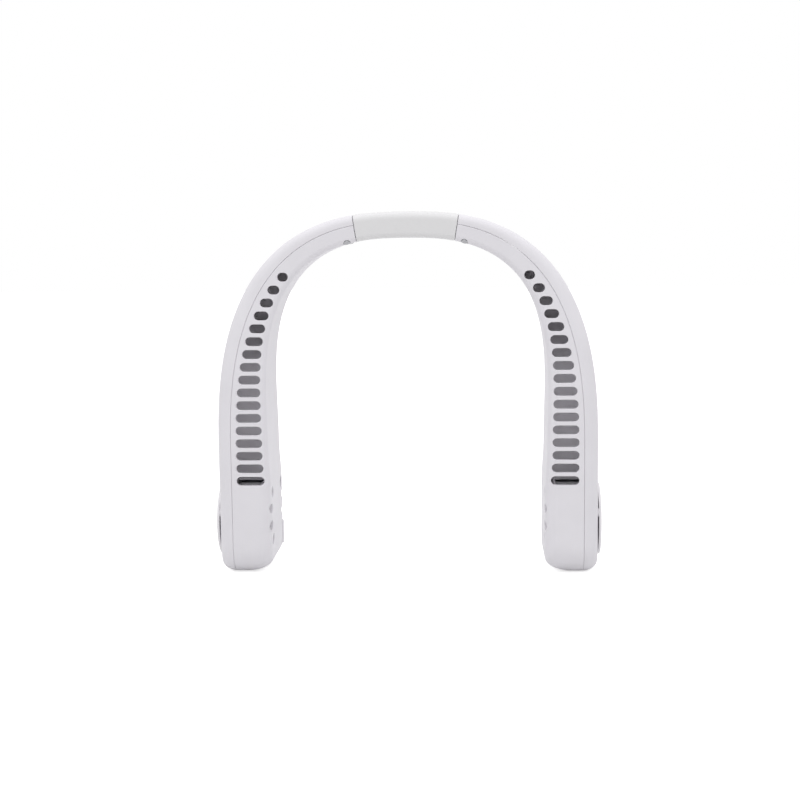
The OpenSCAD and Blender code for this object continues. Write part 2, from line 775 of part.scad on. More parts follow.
module neck_sleeve() color("whitesmoke") {
    gap_deg = band_gap / arch_r(seam_deg) * 180 / PI;
    difference() {
        band_piece(seam_deg + gap_deg, 180 - seam_deg - gap_deg, 0, band_steps);
        band_piece(seam_deg - over_deg, 180 - seam_deg + over_deg, sleeve_wall, band_steps);
    }
}
module spring_strip() color("silver") {
    along_y(strip_w)
        polygon(band_strip(strip_t / 2, strip_t / 2, strip_end_deg, 180 - strip_end_deg));
}
module band_lead() color("dimgray") {
    loft([for (a = spread(180 - lead_end_deg, lead_end_deg, 3 * band_steps))
        let (p = arch_inset(a, lead_inset), v = arch_normal(a))
        [for (k = [0:lead_sides - 1]) let (b = 360 * k / lead_sides)
            [p.x + lead_r * cos(b) * v.x, lead_r * sin(b), p.y + lead_r * cos(b) * v.y]]]);
}

module left() {
    mirror([1, 0, 0]) children();
}

neck_sleeve();
spring_strip();
band_lead();
color("white") outer_shell();  // right_outer_shell
color("gainsboro") inner_shell(false);  // right_inner_shell
color("whitesmoke") intake_disc();  // right_intake_disc
color("dimgray") blower_base();  // right_blower_base
color("gray") blower_cover();  // right_blower_cover
color("silver") blower_screws();  // right_blower_screws
color("darkgray") impeller();  // right_impeller
color("black") rotor_magnet();  // right_rotor_magnet
color("silver") motor_shaft();  // right_motor_shaft
color("slategray") motor_stator();  // right_motor_stator
color("chocolate") motor_coils();  // right_motor_coils
color("goldenrod") motor_bearing();  // right_motor_bearing
color("gray") duct_wall();  // right_duct_wall
color("steelblue") battery();  // right_battery
color("gray") band_anchor();  // right_band_anchor
color("silver") anchor_screws();  // right_anchor_screws
color("white") left() outer_shell();  // left_outer_shell
color("gainsboro") left() inner_shell(true);  // left_inner_shell
color("whitesmoke") left() intake_disc();  // left_intake_disc
color("dimgray") left() blower_base();  // left_blower_base
color("gray") left() blower_cover();  // left_blower_cover
color("silver") left() blower_screws();  // left_blower_screws
color("darkgray") left() impeller();  // left_impeller
color("black") left() rotor_magnet();  // left_rotor_magnet
color("silver") left() motor_shaft();  // left_motor_shaft
color("slategray") left() motor_stator();  // left_motor_stator
color("chocolate") left() motor_coils();  // left_motor_coils
color("goldenrod") left() motor_bearing();  // left_motor_bearing
color("gray") left() duct_wall();  // left_duct_wall
color("steelblue") left() battery();  // left_battery
color("gray") left() band_anchor();  // left_band_anchor
color("silver") left() anchor_screws();  // left_anchor_screws
color("lightgray") left() power_button();  // left_power_button
color("seagreen") left() control_board();  // left_control_board
color("black") left() power_switch();  // left_power_switch
color("silver") left() charging_socket();  // left_charging_socket
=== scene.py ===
import math

import bmesh
import bpy
from bpy.props import FloatProperty, FloatVectorProperty, IntProperty, PointerProperty
from mathutils import Matrix, Vector

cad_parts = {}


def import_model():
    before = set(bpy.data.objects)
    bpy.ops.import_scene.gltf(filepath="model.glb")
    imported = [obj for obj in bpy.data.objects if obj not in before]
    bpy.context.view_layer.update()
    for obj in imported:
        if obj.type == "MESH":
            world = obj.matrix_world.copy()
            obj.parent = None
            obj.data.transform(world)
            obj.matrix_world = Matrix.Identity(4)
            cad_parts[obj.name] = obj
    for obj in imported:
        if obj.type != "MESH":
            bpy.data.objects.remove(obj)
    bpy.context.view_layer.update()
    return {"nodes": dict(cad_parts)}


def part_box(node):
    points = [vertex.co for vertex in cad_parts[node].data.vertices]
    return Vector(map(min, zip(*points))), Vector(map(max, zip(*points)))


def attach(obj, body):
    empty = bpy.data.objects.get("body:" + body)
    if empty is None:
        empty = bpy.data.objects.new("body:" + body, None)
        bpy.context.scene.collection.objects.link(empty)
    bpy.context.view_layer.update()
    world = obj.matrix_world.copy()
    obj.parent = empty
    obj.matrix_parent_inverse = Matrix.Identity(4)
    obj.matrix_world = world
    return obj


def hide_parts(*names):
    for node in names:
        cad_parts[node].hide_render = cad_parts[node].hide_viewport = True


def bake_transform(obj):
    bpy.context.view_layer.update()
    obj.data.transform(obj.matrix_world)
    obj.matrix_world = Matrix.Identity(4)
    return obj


bl_info = {
    "name": "Neck fan",
    "version": (1, 0, 0),
    "blender": (4, 5, 0),
    "location": "View3D > Sidebar > Neck fan",
    "description": "Dresses the neck fan: shells, sleeve, discs, button, finishes and stage",
    "category": "Object",
}

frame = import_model()

SIDES = {"right": 1, "left": -1}
AXIS_X = Vector((1, 0, 0))
AXIS_Y = Vector((0, 1, 0))
AXIS_Z = Vector((0, 0, 1))


def span(node, axis):
    """Size of a CAD node along an axis."""
    low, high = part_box(node)
    return high[axis] - low[axis]


def middle(node, axis):
    """Middle of a CAD node along an axis."""
    low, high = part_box(node)
    return (high[axis] + low[axis]) / 2


def length(name, default, description):
    """A size in metres for the sidebar."""
    return FloatProperty(name=name, description=description, default=default,
                         subtype="DISTANCE", unit="LENGTH", precision=5)


def share(name, default, description):
    """A plain number for the sidebar."""
    return FloatProperty(name=name, description=description, default=default, precision=3)


def angle(name, degrees, description):
    """An angle for the sidebar."""
    return FloatProperty(name=name, description=description, default=math.radians(degrees),
                         subtype="ANGLE", unit="ROTATION")


def count(name, default, description):
    """A whole number for the sidebar."""
    return IntProperty(name=name, description=description, default=default, min=1)


def tint(name, default, description):
    """A colour for the sidebar."""
    return FloatVectorProperty(name=name, description=description, default=default,
                               subtype="COLOR", size=3, min=0, max=1)


class NeckFanArch(bpy.types.PropertyGroup):
    """Sizes of the arch that both arms and the band follow."""

    half_width: length("Half width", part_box("right_outer_shell")[1].x,
                       "From the middle to an arm's outer face")
    crown_height: length("Crown height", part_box("neck_sleeve")[1].z,
                         "Height of the band's crown above the floor")
    shoulder_height: length("Shoulder height", 0.0615, "Height at which the legs turn into the arch")
    curve_power: share("Curve power", 2.62, "Squareness of the arch; an ellipse has 2")
    foot_thickness: length("Foot thickness", 0.026, "Outer to inner face, at the foot")
    leg_thickness: length("Leg thickness", 0.025, "Outer to inner face, at the shoulder")
    band_thickness: length("Band thickness", 0.0128, "Outer to inner face, at the crown")
    thin_power: share("Thinning power", 2.5, "How soon the thickness falls along the arch")
    foot_depth: length("Foot depth", span("right_outer_shell", 1), "Front to back, at the foot")
    band_depth: length("Band depth", 0.027, "Front to back, at the crown")
    full_height: length("Full height", 0.041, "Height below which a leg keeps its full thickness")
    outer_corner: share("Outer corner", 0.3, "Outer corner radius, as a share of the thickness")
    inner_corner: share("Inner corner", 0.21, "Inner corner radius, as a share of the thickness")
    least_corner: length("Least corner", 0.0004, "Smallest corner radius inside a wall")
    sole_outer_reach: length("Sole outer reach", 0.0065, "Reach of the sole's outer rounding")
    sole_outer_height: length("Sole outer height", 0.0065, "Height of the sole's outer rounding")
    sole_inner_reach: length("Sole inner reach", 0.015, "Reach of the sole's inner rounding")
    sole_inner_height: length("Sole inner height", 0.0082, "Height of the sole's inner rounding")
    sole_side_reach: length("Sole side reach", 0.014, "Reach of the rounding at front and back")
    sole_side_height: length("Sole side height", 0.015, "Height of the rounding at front and back")
    parting_inset: length("Parting inset", 0.0071, "Outer face to the parting line, on the leg")
    parting_band_inset: length("Parting inset at the band", 0.0046,
                               "Outer face to the parting line, at the crown")
    parting_power: share("Parting power", 6, "How late the parting line moves outward")
    arm_end: angle("Arm end", 77.2, "Direction in which an arm meets the band")


class NeckFanShell(bpy.types.PropertyGroup):
    """Sizes of the arm shells, their parting line and their openings."""

    wall: length("Wall", 0.0018, "Wall thickness of the shells")
    parting_slit: length("Parting slit", 0.00006, "Half of the slit between the shells")
    parting_chamfer: length("Parting chamfer", 0.00028, "Broken edge along the parting line")
    end_round: length("End rounding", 0.0003, "Rounding of the arm's end at the band")
    edge_round: length("Opening rounding", 0.00035, "Rounding of the rims of slots")
    slot_count: count("Slots", 17, "Air slots in each arm")
    slot_pitch: length("Slot pitch", 0.0062, "Between neighbouring slots")
    slot_height: length("Slot height", 0.0043, "Height of one slot")
    slot_low: length("Lowest slot", 0.0473, "Height of the lowest slot's centre")
    slot_outer_inset: length("Slot outer inset", 0.0096, "From the outer face to the slots' ends")
    slot_inner_inset: length("Slot inner inset", 0.0025, "From the inner face to the slots' ends")
    ring_count: count("Ring slots", 14, "Slots in the ring on each inner face")
    ring_height: length("Ring height", 0.0285, "Height of the ring's centre")
    ring_reach: length("Ring reach", 0.0222, "Radius to the ring slots' outer ends")
    ring_slot_length: length("Ring slot length", 0.0066, "Length of one ring slot")
    ring_slot_width: length("Ring slot width", 0.0046, "Width of one ring slot")
    ring_arc: share("Ring arc", 0.6, "Cosine from the front or back within which slots lie")
    ring_button_slot: IntProperty(name="Button's ring slot", default=12,
                                  description="Ring slot left out beside the power button")
    screw_turn: angle("Anchor screws", 74.6, "Direction of the anchor screws under the band's end")
    screw_tilt: angle("Screw tilt", 30, "Lean of the anchor screws through the inner corner")
    screw_hole: length("Screw hole", 0.00095, "Radius of a screw's hole")
    screw_seat: length("Screw seat", 0.00185, "Radius of the seat of a screw's head")
    screw_seat_depth: length("Seat depth", 0.001, "Depth of the seat of a screw's head")
    boss_radius: length("Boss radius", 0.0026, "Radius of the bosses under the blower")
    boss_length: length("Boss length", 0.0025, "Length of the bosses under the blower")
    tab_low: length("Low tab", 0.020, "Height of the snap tab at the back of the foot")
    tab_high: length("High tabs", 0.056, "Height of the snap tabs at the shoulder")
    tab_width: length("Tab width", 0.008, "Width of a snap tab")
    tab_thickness: length("Tab thickness", 0.0011, "Thickness of a snap tab")
    tab_reach: length("Tab reach", 0.0021, "Reach of a snap tab past the parting line")
    tab_play: length("Tab play", 0.00015, "Gap between a snap tab and the wall it slides on")
    tab_round: length("Tab rounding", 0.00015, "Broken edges of a snap tab")
    board_post_radius: length("Board post", 0.0016, "Radius of the posts under the board")
    board_post_near: length("Near board post", 0.003, "From the board's inner edge")
    board_post_far: length("Far board post", 0.0096, "From the board's inner edge")
    board_post_side: length("Board post side", 0.0018, "From the board's front edge")
    button_fit: length("Button fit", 0.00015, "Gap round the power button")
    socket_fit: length("Socket fit", 0.0002, "Gap round the charging socket")


class NeckFanTrim(bpy.types.PropertyGroup):
    """Sizes of the sleeve, the discs and the button."""

    sleeve_wall: length("Sleeve wall", 0.0022, "Wall thickness of the soft sleeve")
    sleeve_gap: length("Sleeve gap", 0.00025, "Gap between an arm's end and the sleeve")
    sleeve_round: length("Sleeve rounding", 0.0005, "Rounding of the sleeve's ends")
    disc_rise: length("Disc rise", 0.0009, "Rise of the disc's dome")
    disc_gap: length("Disc gap", 0.0006, "Gap between a disc and the arm")
    disc_round: length("Disc rounding", 0.00035, "Rounding of the disc's rim")
    post_radius: length("Post radius", 0.0022, "Radius of the posts that carry a disc")
    post_place: length("Post place", 0.0154, "Distance of the posts from the disc's centre")
    post_turn: angle("Post turn", 21, "Direction of the first post")
    post_count: count("Posts", 4, "Posts under a disc")
    pin_radius: length("Pin radius", 0.0009, "Radius of the pins through the shell")
    intake_radius: length("Intake radius", 0.013, "Radius of the opening under a disc")
    button_width: length("Button width", 0.004, "Width of the power button")
    button_round: length("Button rounding", 0.00048, "Rounding of the button's edge")


class NeckFanFinish(bpy.types.PropertyGroup):
    """Colours of the finishes."""

    shell: tint("Shells", (0.695, 0.68, 0.715), "Satin white plastic of the arms")
    disc: tint("Discs", (0.70, 0.69, 0.71), "Satin white plastic of the discs")
    sleeve: tint("Sleeve", (0.66, 0.655, 0.665), "White silicone of the neck sleeve")
    button: tint("Button", (0.68, 0.67, 0.70), "White plastic of the button")
    # Painted light: a paler colour that only diffusely bounced light meets, standing in for light
    # let through the thin white walls
    painted_bounce_light: tint("Bounced light", (0.99, 0.97, 1.0), "Colour that bounced light meets there")
    inner_plastic: tint("Inner plastic", (0.72, 0.705, 0.745), "White plastic inside the arms")
    impeller: tint("Impeller", (0.66, 0.66, 0.68), "Pale grey plastic of the impeller")
    steel: tint("Steel", (0.56, 0.56, 0.57), "Screws, shaft, strip and socket")
    dark_steel: tint("Dark steel", (0.30, 0.30, 0.315), "Grey anchor screws")
    lamination: tint("Lamination", (0.25, 0.25, 0.27), "Stacked steel of the stator")
    copper: tint("Copper", (0.72, 0.28, 0.12), "Wire of the windings")
    bronze: tint("Bronze", (0.55, 0.36, 0.16), "Sintered bearing")
    ferrite: tint("Ferrite", (0.035, 0.035, 0.04), "Ring magnet")
    wrap: tint("Cell wrap", (0.62, 0.64, 0.66), "Shrunk wrap of the cell")
    jacket: tint("Lead jacket", (0.03, 0.03, 0.032), "Soft jacket of the lead")
    laminate: tint("Board", (0.02, 0.13, 0.06), "Solder mask of the board")
    black_plastic: tint("Black plastic", (0.03, 0.03, 0.032), "Switch body")


class NeckFanStage(bpy.types.PropertyGroup):
    """Camera and light."""

    distance: length("Distance", 0.730, "From the camera to the point it looks at")
    azimuth: angle("Azimuth", 3.04, "Turn of the camera to the right of the front")
    elevation: angle("Elevation", 7.0, "Rise of the camera")
    roll: angle("Roll", -0.65, "Turn of the camera about its own line of sight")
    aim_side: length("Aim side", -0.00421, "Sideways place of the point it looks at")
    aim_height: length("Aim height", 0.0841, "Height of the point it looks at")
    focal_share: share("Focal share", 1.825, "Focal length, as a share of the image's width")
    floor_size: length("Floor size", 6.0, "Width of the floor")
    sky: share("Sky light", 0.9, "Strength of the light from all round")
    top_lamp: share("Top lamp", 5.6, "Strength of the wide lamp overhead, in watts")
    front_lamp: share("Front lamp", 0.8, "Strength of the wide lamp at the front, in watts")


# ---------------------------------------------------------------- the form of an arm


def smooth_step(u):
    u = min(1.0, max(0.0, u))
    return u * u * (3 - 2 * u)


def spread(first, last, steps):
    return [first + (last - first) * k / steps for k in range(steps + 1)]


def halve(too_low, low, high, steps=30):
    """The value between low and high at which too_low stops holding."""
    for _ in range(steps):
        mid = (low + high) / 2
        if too_low(mid):
            low = mid
        else:
            high = mid
    return (low + high) / 2


def draw_in(height, reach, rise, inset=0.0):
    """How far a rounding of the sole draws a face in, at a height. Moved inward by inset, the
    rounding keeps its centre."""
    if height >= rise:
        return 0.0
    u = min(1.0, (rise - height) / (rise - inset))
    return (reach - inset) * (1 - math.sqrt(1 - u * u))


class Station:
    """One place along an arm: the outer face, its direction, and the section's size there."""

    def __init__(self, place, normal, thickness, depth, parting):
        self.place = place
        self.normal = normal
        self.thickness = thickness
        self.depth = depth
        self.parting = parting

    def inset(self, distance):
        """Point in the XZ plane a distance inside the outer face."""
        return self.place - distance * self.normal

    def point(self, distance, side):
        spot = self.inset(distance)
        return Vector((spot.x, side, spot.y))


class ArmForm:
    """The loft of an arm: a straight leg, drawn in at the sole, and a superelliptic arch."""

    corner_steps = 8
    sole_steps = 18
    leg_steps = 10
    arch_steps = 56

    def __init__(self, arch):
        self.arch = arch
        self.rise = arch.crown_height - arch.shoulder_height

    def radius(self, turn):
        a = self.arch
        p = a.curve_power
        return ((abs(math.cos(turn)) / a.half_width) ** p
                + (math.sin(turn) / self.rise) ** p) ** (-1 / p)

    def on_arch(self, turn):
        a = self.arch
        c, s = math.cos(turn), math.sin(turn)
        r = self.radius(turn)
        p = a.curve_power - 1
        slope = Vector((math.copysign(abs(r * c / a.half_width) ** p, c) / a.half_width,
                        (r * s / self.rise) ** p / self.rise))
        thinning = abs(c) ** a.thin_power
        return Station(Vector((r * c, a.shoulder_height + r * s)), slope.normalized(),
                       a.band_thickness + (a.leg_thickness - a.band_thickness) * thinning,
                       a.band_depth + (a.foot_depth - a.band_depth) * c * c,
                       a.parting_inset
                       + (a.parting_band_inset - a.parting_inset) * s ** a.parting_power)

    def full_thickness(self, height):
        a = self.arch
        u = (a.shoulder_height - height) / (a.shoulder_height - a.full_height)
        return a.leg_thickness + (a.foot_thickness - a.leg_thickness) * smooth_step(u)

    def on_leg(self, height, inset=0.0):
        a = self.arch
        outer = draw_in(height, a.sole_outer_reach, a.sole_outer_height, inset)
        inner = draw_in(height, a.sole_inner_reach, a.sole_inner_height, inset)
        side = draw_in(height, a.sole_side_reach, a.sole_side_height, inset)
        return Station(Vector((a.half_width - outer, height)), Vector((1, 0)),
                       self.full_thickness(height) - outer - inner, a.foot_depth - 2 * side,
                       a.parting_inset)

    def corner_radii(self, thickness, inset=0.0):
        a = self.arch
        return [max(part * thickness - inset, a.least_corner)
                for part in (a.outer_corner, a.inner_corner)]

    def section(self, station, inset=0.0):
        """Ring of points round the section, moved inward by inset."""
        t, d = station.thickness, station.depth
        outer, inner = self.corner_radii(t, inset)
        corners = ((inset + outer, -1, outer, 180), (t - inset - inner, -1, inner, 270),
                   (t - inset - inner, 1, inner, 0), (inset + outer, 1, outer, 90))
        ring = []
        for across, side, r, start in corners:
            for k in range(self.corner_steps + 1):
                turn = math.radians(start + 90 * k / self.corner_steps)
                ring.append(station.point(across + r * math.cos(turn),
                                          side * (d / 2 - inset - r) + r * math.sin(turn)))
        return ring

    def leg_stations(self, inset=0.0):
        """Leg stations from the sole up, closer together where it is rounded."""
        a = self.arch
        heights = [inset + (a.sole_side_height - inset) * (1 - math.cos(turn))
                   for turn in spread(0, math.pi / 2, self.sole_steps)]
        heights += spread(a.sole_side_height, a.shoulder_height, self.leg_steps)[1:]
        return [self.on_leg(h, inset) for h in heights]

    def arch_stations(self, last):
        return [self.on_arch(turn) for turn in spread(0, last, self.arch_steps)[1:]]

    def front_side(self, spot):
        """Depth of the front face behind a point (x, z) of the arm's front view."""
        a = self.arch
        if spot.y <= a.shoulder_height:
            station = self.on_leg(spot.y)
        else:
            def before(turn):
                there = self.on_arch(turn)
                way = spot - there.place
                return there.normal.x * way.y - there.normal.y * way.x > 0
            station = self.on_arch(halve(before, 0, math.pi / 2))
        across = (station.place - spot).length
        outer, inner = self.corner_radii(station.thickness)
        drop = 0.0
        for r, reach in ((outer, across), (inner, station.thickness - across)):
            if reach < r:
                drop = r - math.sqrt(max(0.0, r * r - (r - reach) ** 2))
        return -station.depth / 2 + drop

    def inner_face(self, side, height):
        """Place along X of a leg's inner face, at a distance from the middle plane."""
        station = self.on_leg(height)
        r = self.corner_radii(station.thickness)[1]
        reach = station.depth / 2 - abs(side)
        drop = r - math.sqrt(max(0.0, r * r - max(0.0, r - reach) ** 2))
        return station.inset(station.thickness).x + drop


# ---------------------------------------------------------------- mesh tools


def ring_edges(ring):
    pairs = zip(ring, ring[1:] + ring[:1])
    return [next(e for e in a.link_edges if e.other_vert(a) is b) for a, b in pairs]


def loft(bm, rings, hollow=False):
    """Skins a run of closed rings. A hollow one has its first and last rings joined."""
    first = bmesh.ops.create_circle(bm, segments=len(rings[0]), radius=1)["verts"]
    for vert, point in zip(first, rings[0]):
        vert.co = point
    ring = first
    for points in rings[1:]:
        new = bmesh.ops.extrude_edge_only(bm, edges=ring_edges(ring))["geom"]
        fresh = {v for v in new if isinstance(v, bmesh.types.BMVert)}
        ring = [next(e.other_vert(v) for e in v.link_edges if e.other_vert(v) in fresh)
                for v in ring]
        for vert, point in zip(ring, points):
            vert.co = point
    if hollow:
        bmesh.ops.bridge_loops(bm, edges=ring_edges(first) + ring_edges(ring))
    else:
        for end in (first, ring):
            bmesh.ops.edgeloop_fill(bm, edges=ring_edges(end))


def cylinder(bm, start, axis, reach, radius, segments=48):
    """A closed cylinder from a point along an axis."""
    turn = AXIS_Z.rotation_difference(axis).to_matrix().to_4x4()
    centre = Matrix.Translation(start + axis * reach / 2)
    bmesh.ops.create_cone(bm, cap_ends=True, segments=segments, radius1=radius, radius2=radius,
                          depth=reach, matrix=centre @ turn)


def block(bm, low, high, r):
    """A closed box between two corners, with broken edges."""
    verts = bmesh.ops.create_cube(bm, size=1, matrix=Matrix.Translation((low + high) / 2)
                                  @ Matrix.Diagonal((*(high - low), 1)))["verts"]
    edges = list({e for v in verts for e in v.link_edges})
    bmesh.ops.bevel(bm, geom=edges, offset=r, segments=2, affect="EDGES", profile=0.5,
                    offset_type="OFFSET", material=-1)


def stadium(long, wide, steps=10):
    """Outline of a slot with round ends, long along its first direction."""
    r = wide / 2
    outline = []
    for sign, start in ((1, -90), (-1, 90)):
        for k in range(steps + 1):
            turn = math.radians(start + 180 * k / steps)
            outline.append(Vector((sign * (long / 2 - r) + r * math.cos(turn),
                                   r * math.sin(turn))))
    return outline


def grown(outline, by):
    """A round-ended outline grown by a distance; its middle stays."""
    half = len(outline) // 2
    centres = [(outline[i] + outline[i + half - 1]) / 2 for i in (0, half)]
    return [p + by * (p - centres[i // half]).normalized() for i, p in enumerate(outline)]


def rounded_hole(bm, outline, place, inward, surface, deep, r):
    """A cutter through a wall whose rim is rounded where it leaves the surface.

    place turns an outline point into one on the cutter at zero depth, surface gives the depth of
    the surface there, and inward is the direction into the wall."""
    steps = 4
    tangent = math.radians(24)
    mouth = [place(point) for point in grown(outline, r * (1 - math.sin(tangent)) + r)]
    outside = min(surface(spot) for spot in mouth) - 3 * r
    rings = [[spot + inward * outside for spot in mouth]]
    for k in range(steps + 2):
        if k > steps:
            growth, depth = 0.0, deep
        else:
            turn = tangent + (math.pi / 2 - tangent) * k / steps
            growth, depth = r * (1 - math.sin(turn)), r * (1 - math.cos(turn))
        ring = []
        for point in grown(outline, growth):
            spot = place(point)
            ring.append(spot + inward * (surface(spot) + depth))
        rings.append(ring)
    loft(bm, rings)


def object_from(bm, name):
    """Turns a bmesh into an object, faces outward."""
    bmesh.ops.recalc_face_normals(bm, faces=bm.faces[:])
    mesh = bpy.data.meshes.new(name)
    bm.to_mesh(mesh)
    bm.free()
    obj = bpy.data.objects.new(name, mesh)
    bpy.context.scene.collection.objects.link(obj)
    return obj


def discard(obj):
    mesh = obj.data
    bpy.data.objects.remove(obj)
    bpy.data.meshes.remove(mesh)


def copy_of(obj, name):
    twin = bpy.data.objects.new(name, obj.data.copy())
    bpy.context.scene.collection.objects.link(twin)
    return twin


def combine(obj, tool, operation):
    """Cuts an object with another, joins them, or keeps what they share."""
    modifier = obj.modifiers.new("combine", "BOOLEAN")
    modifier.object = tool
    modifier.operation = operation
    modifier.solver = "MANIFOLD"
    depsgraph = bpy.context.evaluated_depsgraph_get()
    made = bpy.data.meshes.new_from_object(obj.evaluated_get(depsgraph))
    old = obj.data
    obj.modifiers.clear()
    obj.data = made
    bpy.data.meshes.remove(old)
    if not made.polygons:
        raise RuntimeError(f"{obj.name}: nothing was left after {operation} with {tool.name}")


def smooth_with_edges(obj, sharp_turn=math.radians(32), weld=1e-6):
    """Smooth faces, with edges kept sharp where the surface turns."""
    bm = bmesh.new()
    bm.from_mesh(obj.data)
    bmesh.ops.remove_doubles(bm, verts=bm.verts[:], dist=weld)
    bmesh.ops.dissolve_degenerate(bm, edges=bm.edges[:], dist=weld)
    for face in bm.faces:
        face.smooth = True
    for edge in bm.edges:
        edge.smooth = edge.is_manifold and edge.calc_face_angle(math.pi) < sharp_turn
    bm.to_mesh(obj.data)
    bm.free()
    weighted = obj.modifiers.new("weighted normals", "WEIGHTED_NORMAL")
    weighted.keep_sharp = True


def mirror(obj):
    """Turns a piece of the right arm into one of the left arm."""
    bm = bmesh.new()
    bm.from_mesh(obj.data)
    bmesh.ops.scale(bm, vec=(-1, 1, 1), verts=bm.verts[:])
    bmesh.ops.recalc_face_normals(bm, faces=bm.faces[:])
    bm.to_mesh(obj.data)
    bm.free()


def mirrored(obj, name):
    """The same piece for the other arm."""
    twin = copy_of(obj, name)
    mirror(twin)
    return twin


def stand_for(obj, node, body, material):
    """Gives a piece its finish and its place in the frame, in the stead of a CAD node."""
    obj.data.materials.clear()
    obj.data.materials.append(material)
    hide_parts(node)
    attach(obj, body)


# ---------------------------------------------------------------- finishes


def noise(nodes, links, coords, scale, detail=3.0, roughness=0.55):
    node = nodes.new("ShaderNodeTexNoise")
    node.inputs["Scale"].default_value = scale
    node.inputs["Detail"].default_value = detail
    node.inputs["Roughness"].default_value = roughness
    links.new(coords, node.inputs["Vector"])
    return node.outputs["Fac"]


def stretched(nodes, links, coords, scale):
    node = nodes.new("ShaderNodeMapping")
    node.inputs["Scale"].default_value = scale
    links.new(coords, node.inputs["Vector"])
    return node.outputs["Vector"]


def ranged(nodes, links, value, low, high, start=0.3, end=0.7):
    node = nodes.new("ShaderNodeMapRange")
    node.inputs["From Min"].default_value = start
    node.inputs["From Max"].default_value = end
    node.inputs["To Min"].default_value = low
    node.inputs["To Max"].default_value = high
    links.new(value, node.inputs["Value"])
    return node.outputs["Result"]


def blended(nodes, links, value, first, second):
    node = nodes.new("ShaderNodeMix")
    node.data_type = "RGBA"
    node.inputs[6].default_value = (*first, 1)
    node.inputs[7].default_value = (*second, 1)
    links.new(value, node.inputs["Factor"])
    return node.outputs[2]


def raised(nodes, links, height, strength, distance, below=None):
    node = nodes.new("ShaderNodeBump")
    node.inputs["Strength"].default_value = strength
    node.inputs["Distance"].default_value = distance
    links.new(height, node.inputs["Height"])
    if below is not None:
        links.new(below, node.inputs["Normal"])
    return node.outputs["Normal"]


def shade(colour, factor):
    return tuple(min(1.0, c * factor) for c in colour)


def finish(name, colour, variation=0.015, blotch=60.0, grain=2600.0, relief=0.05,
           relief_depth=0.00002, rough=(0.38, 0.46), metallic=0.0, stretch=None, band=None,
           sheen=0.0, specular=0.5, painted_bounce_light=None):
    """A Principled material: a colour with slow blotches, and roughness and relief with a grain.

    stretch draws the grain out along the axes given small numbers. band is (axis, pitch, depth)
    for laid wire or stacked sheets. The last argument is painted light: a paler colour that only
    diffusely bounced light meets, standing in for the light that a thin white wall lets through into
    the arm."""
    material = bpy.data.materials.new(name)
    material.use_nodes = True
    nodes, links = material.node_tree.nodes, material.node_tree.links
    shader = nodes["Principled BSDF"]
    coords = nodes.new("ShaderNodeTexCoord").outputs["Object"]
    slow = noise(nodes, links, coords, blotch, 2.0)
    fine_coords = stretched(nodes, links, coords, stretch) if stretch else coords
    fine = noise(nodes, links, fine_coords, grain, 4.0, 0.6)
    colour_out = blended(nodes, links, ranged(nodes, links, slow, 0, 1),
                         shade(colour, 1 - variation), shade(colour, 1 + variation))
    # Painted light: diffuse rays meet the paler bounced colour, standing in for light let through
    # the thin walls; camera rays see the real colour
    if painted_bounce_light:
        path = nodes.new("ShaderNodeLightPath")
        camera_colour = colour_out
        colour_out = blended(nodes, links, path.outputs["Is Diffuse Ray"], colour, painted_bounce_light)
        links.new(camera_colour, colour_out.node.inputs[6])
    links.new(colour_out, shader.inputs["Base Color"])
    links.new(ranged(nodes, links, fine, *rough), shader.inputs["Roughness"])
    normal = raised(nodes, links, fine, relief, relief_depth)
    if band:
        axis, pitch, depth = band
        wave = nodes.new("ShaderNodeTexWave")
        wave.bands_direction = axis
        wave.inputs["Scale"].default_value = math.pi / (10 * pitch)
        wave.inputs["Distortion"].default_value = 0.0
        links.new(coords, wave.inputs["Vector"])
        normal = raised(nodes, links, wave.outputs["Fac"], 0.6, depth, normal)
    links.new(normal, shader.inputs["Normal"])
    shader.inputs["Metallic"].default_value = metallic
    shader.inputs["Specular IOR Level"].default_value = specular
    if sheen:
        shader.inputs["Sheen Weight"].default_value = sheen
        shader.inputs["Sheen Roughness"].default_value = 0.4
    return material


def shell_finish():
    colours = bpy.context.scene.neck_fan_finish
    # The paler bounced colour is painted light inside the arms
    return finish("satin_white_shell", colours.shell, rough=(0.5, 0.58), specular=0.25,
                  painted_bounce_light=colours.painted_bounce_light)


# ---------------------------------------------------------------- the pieces


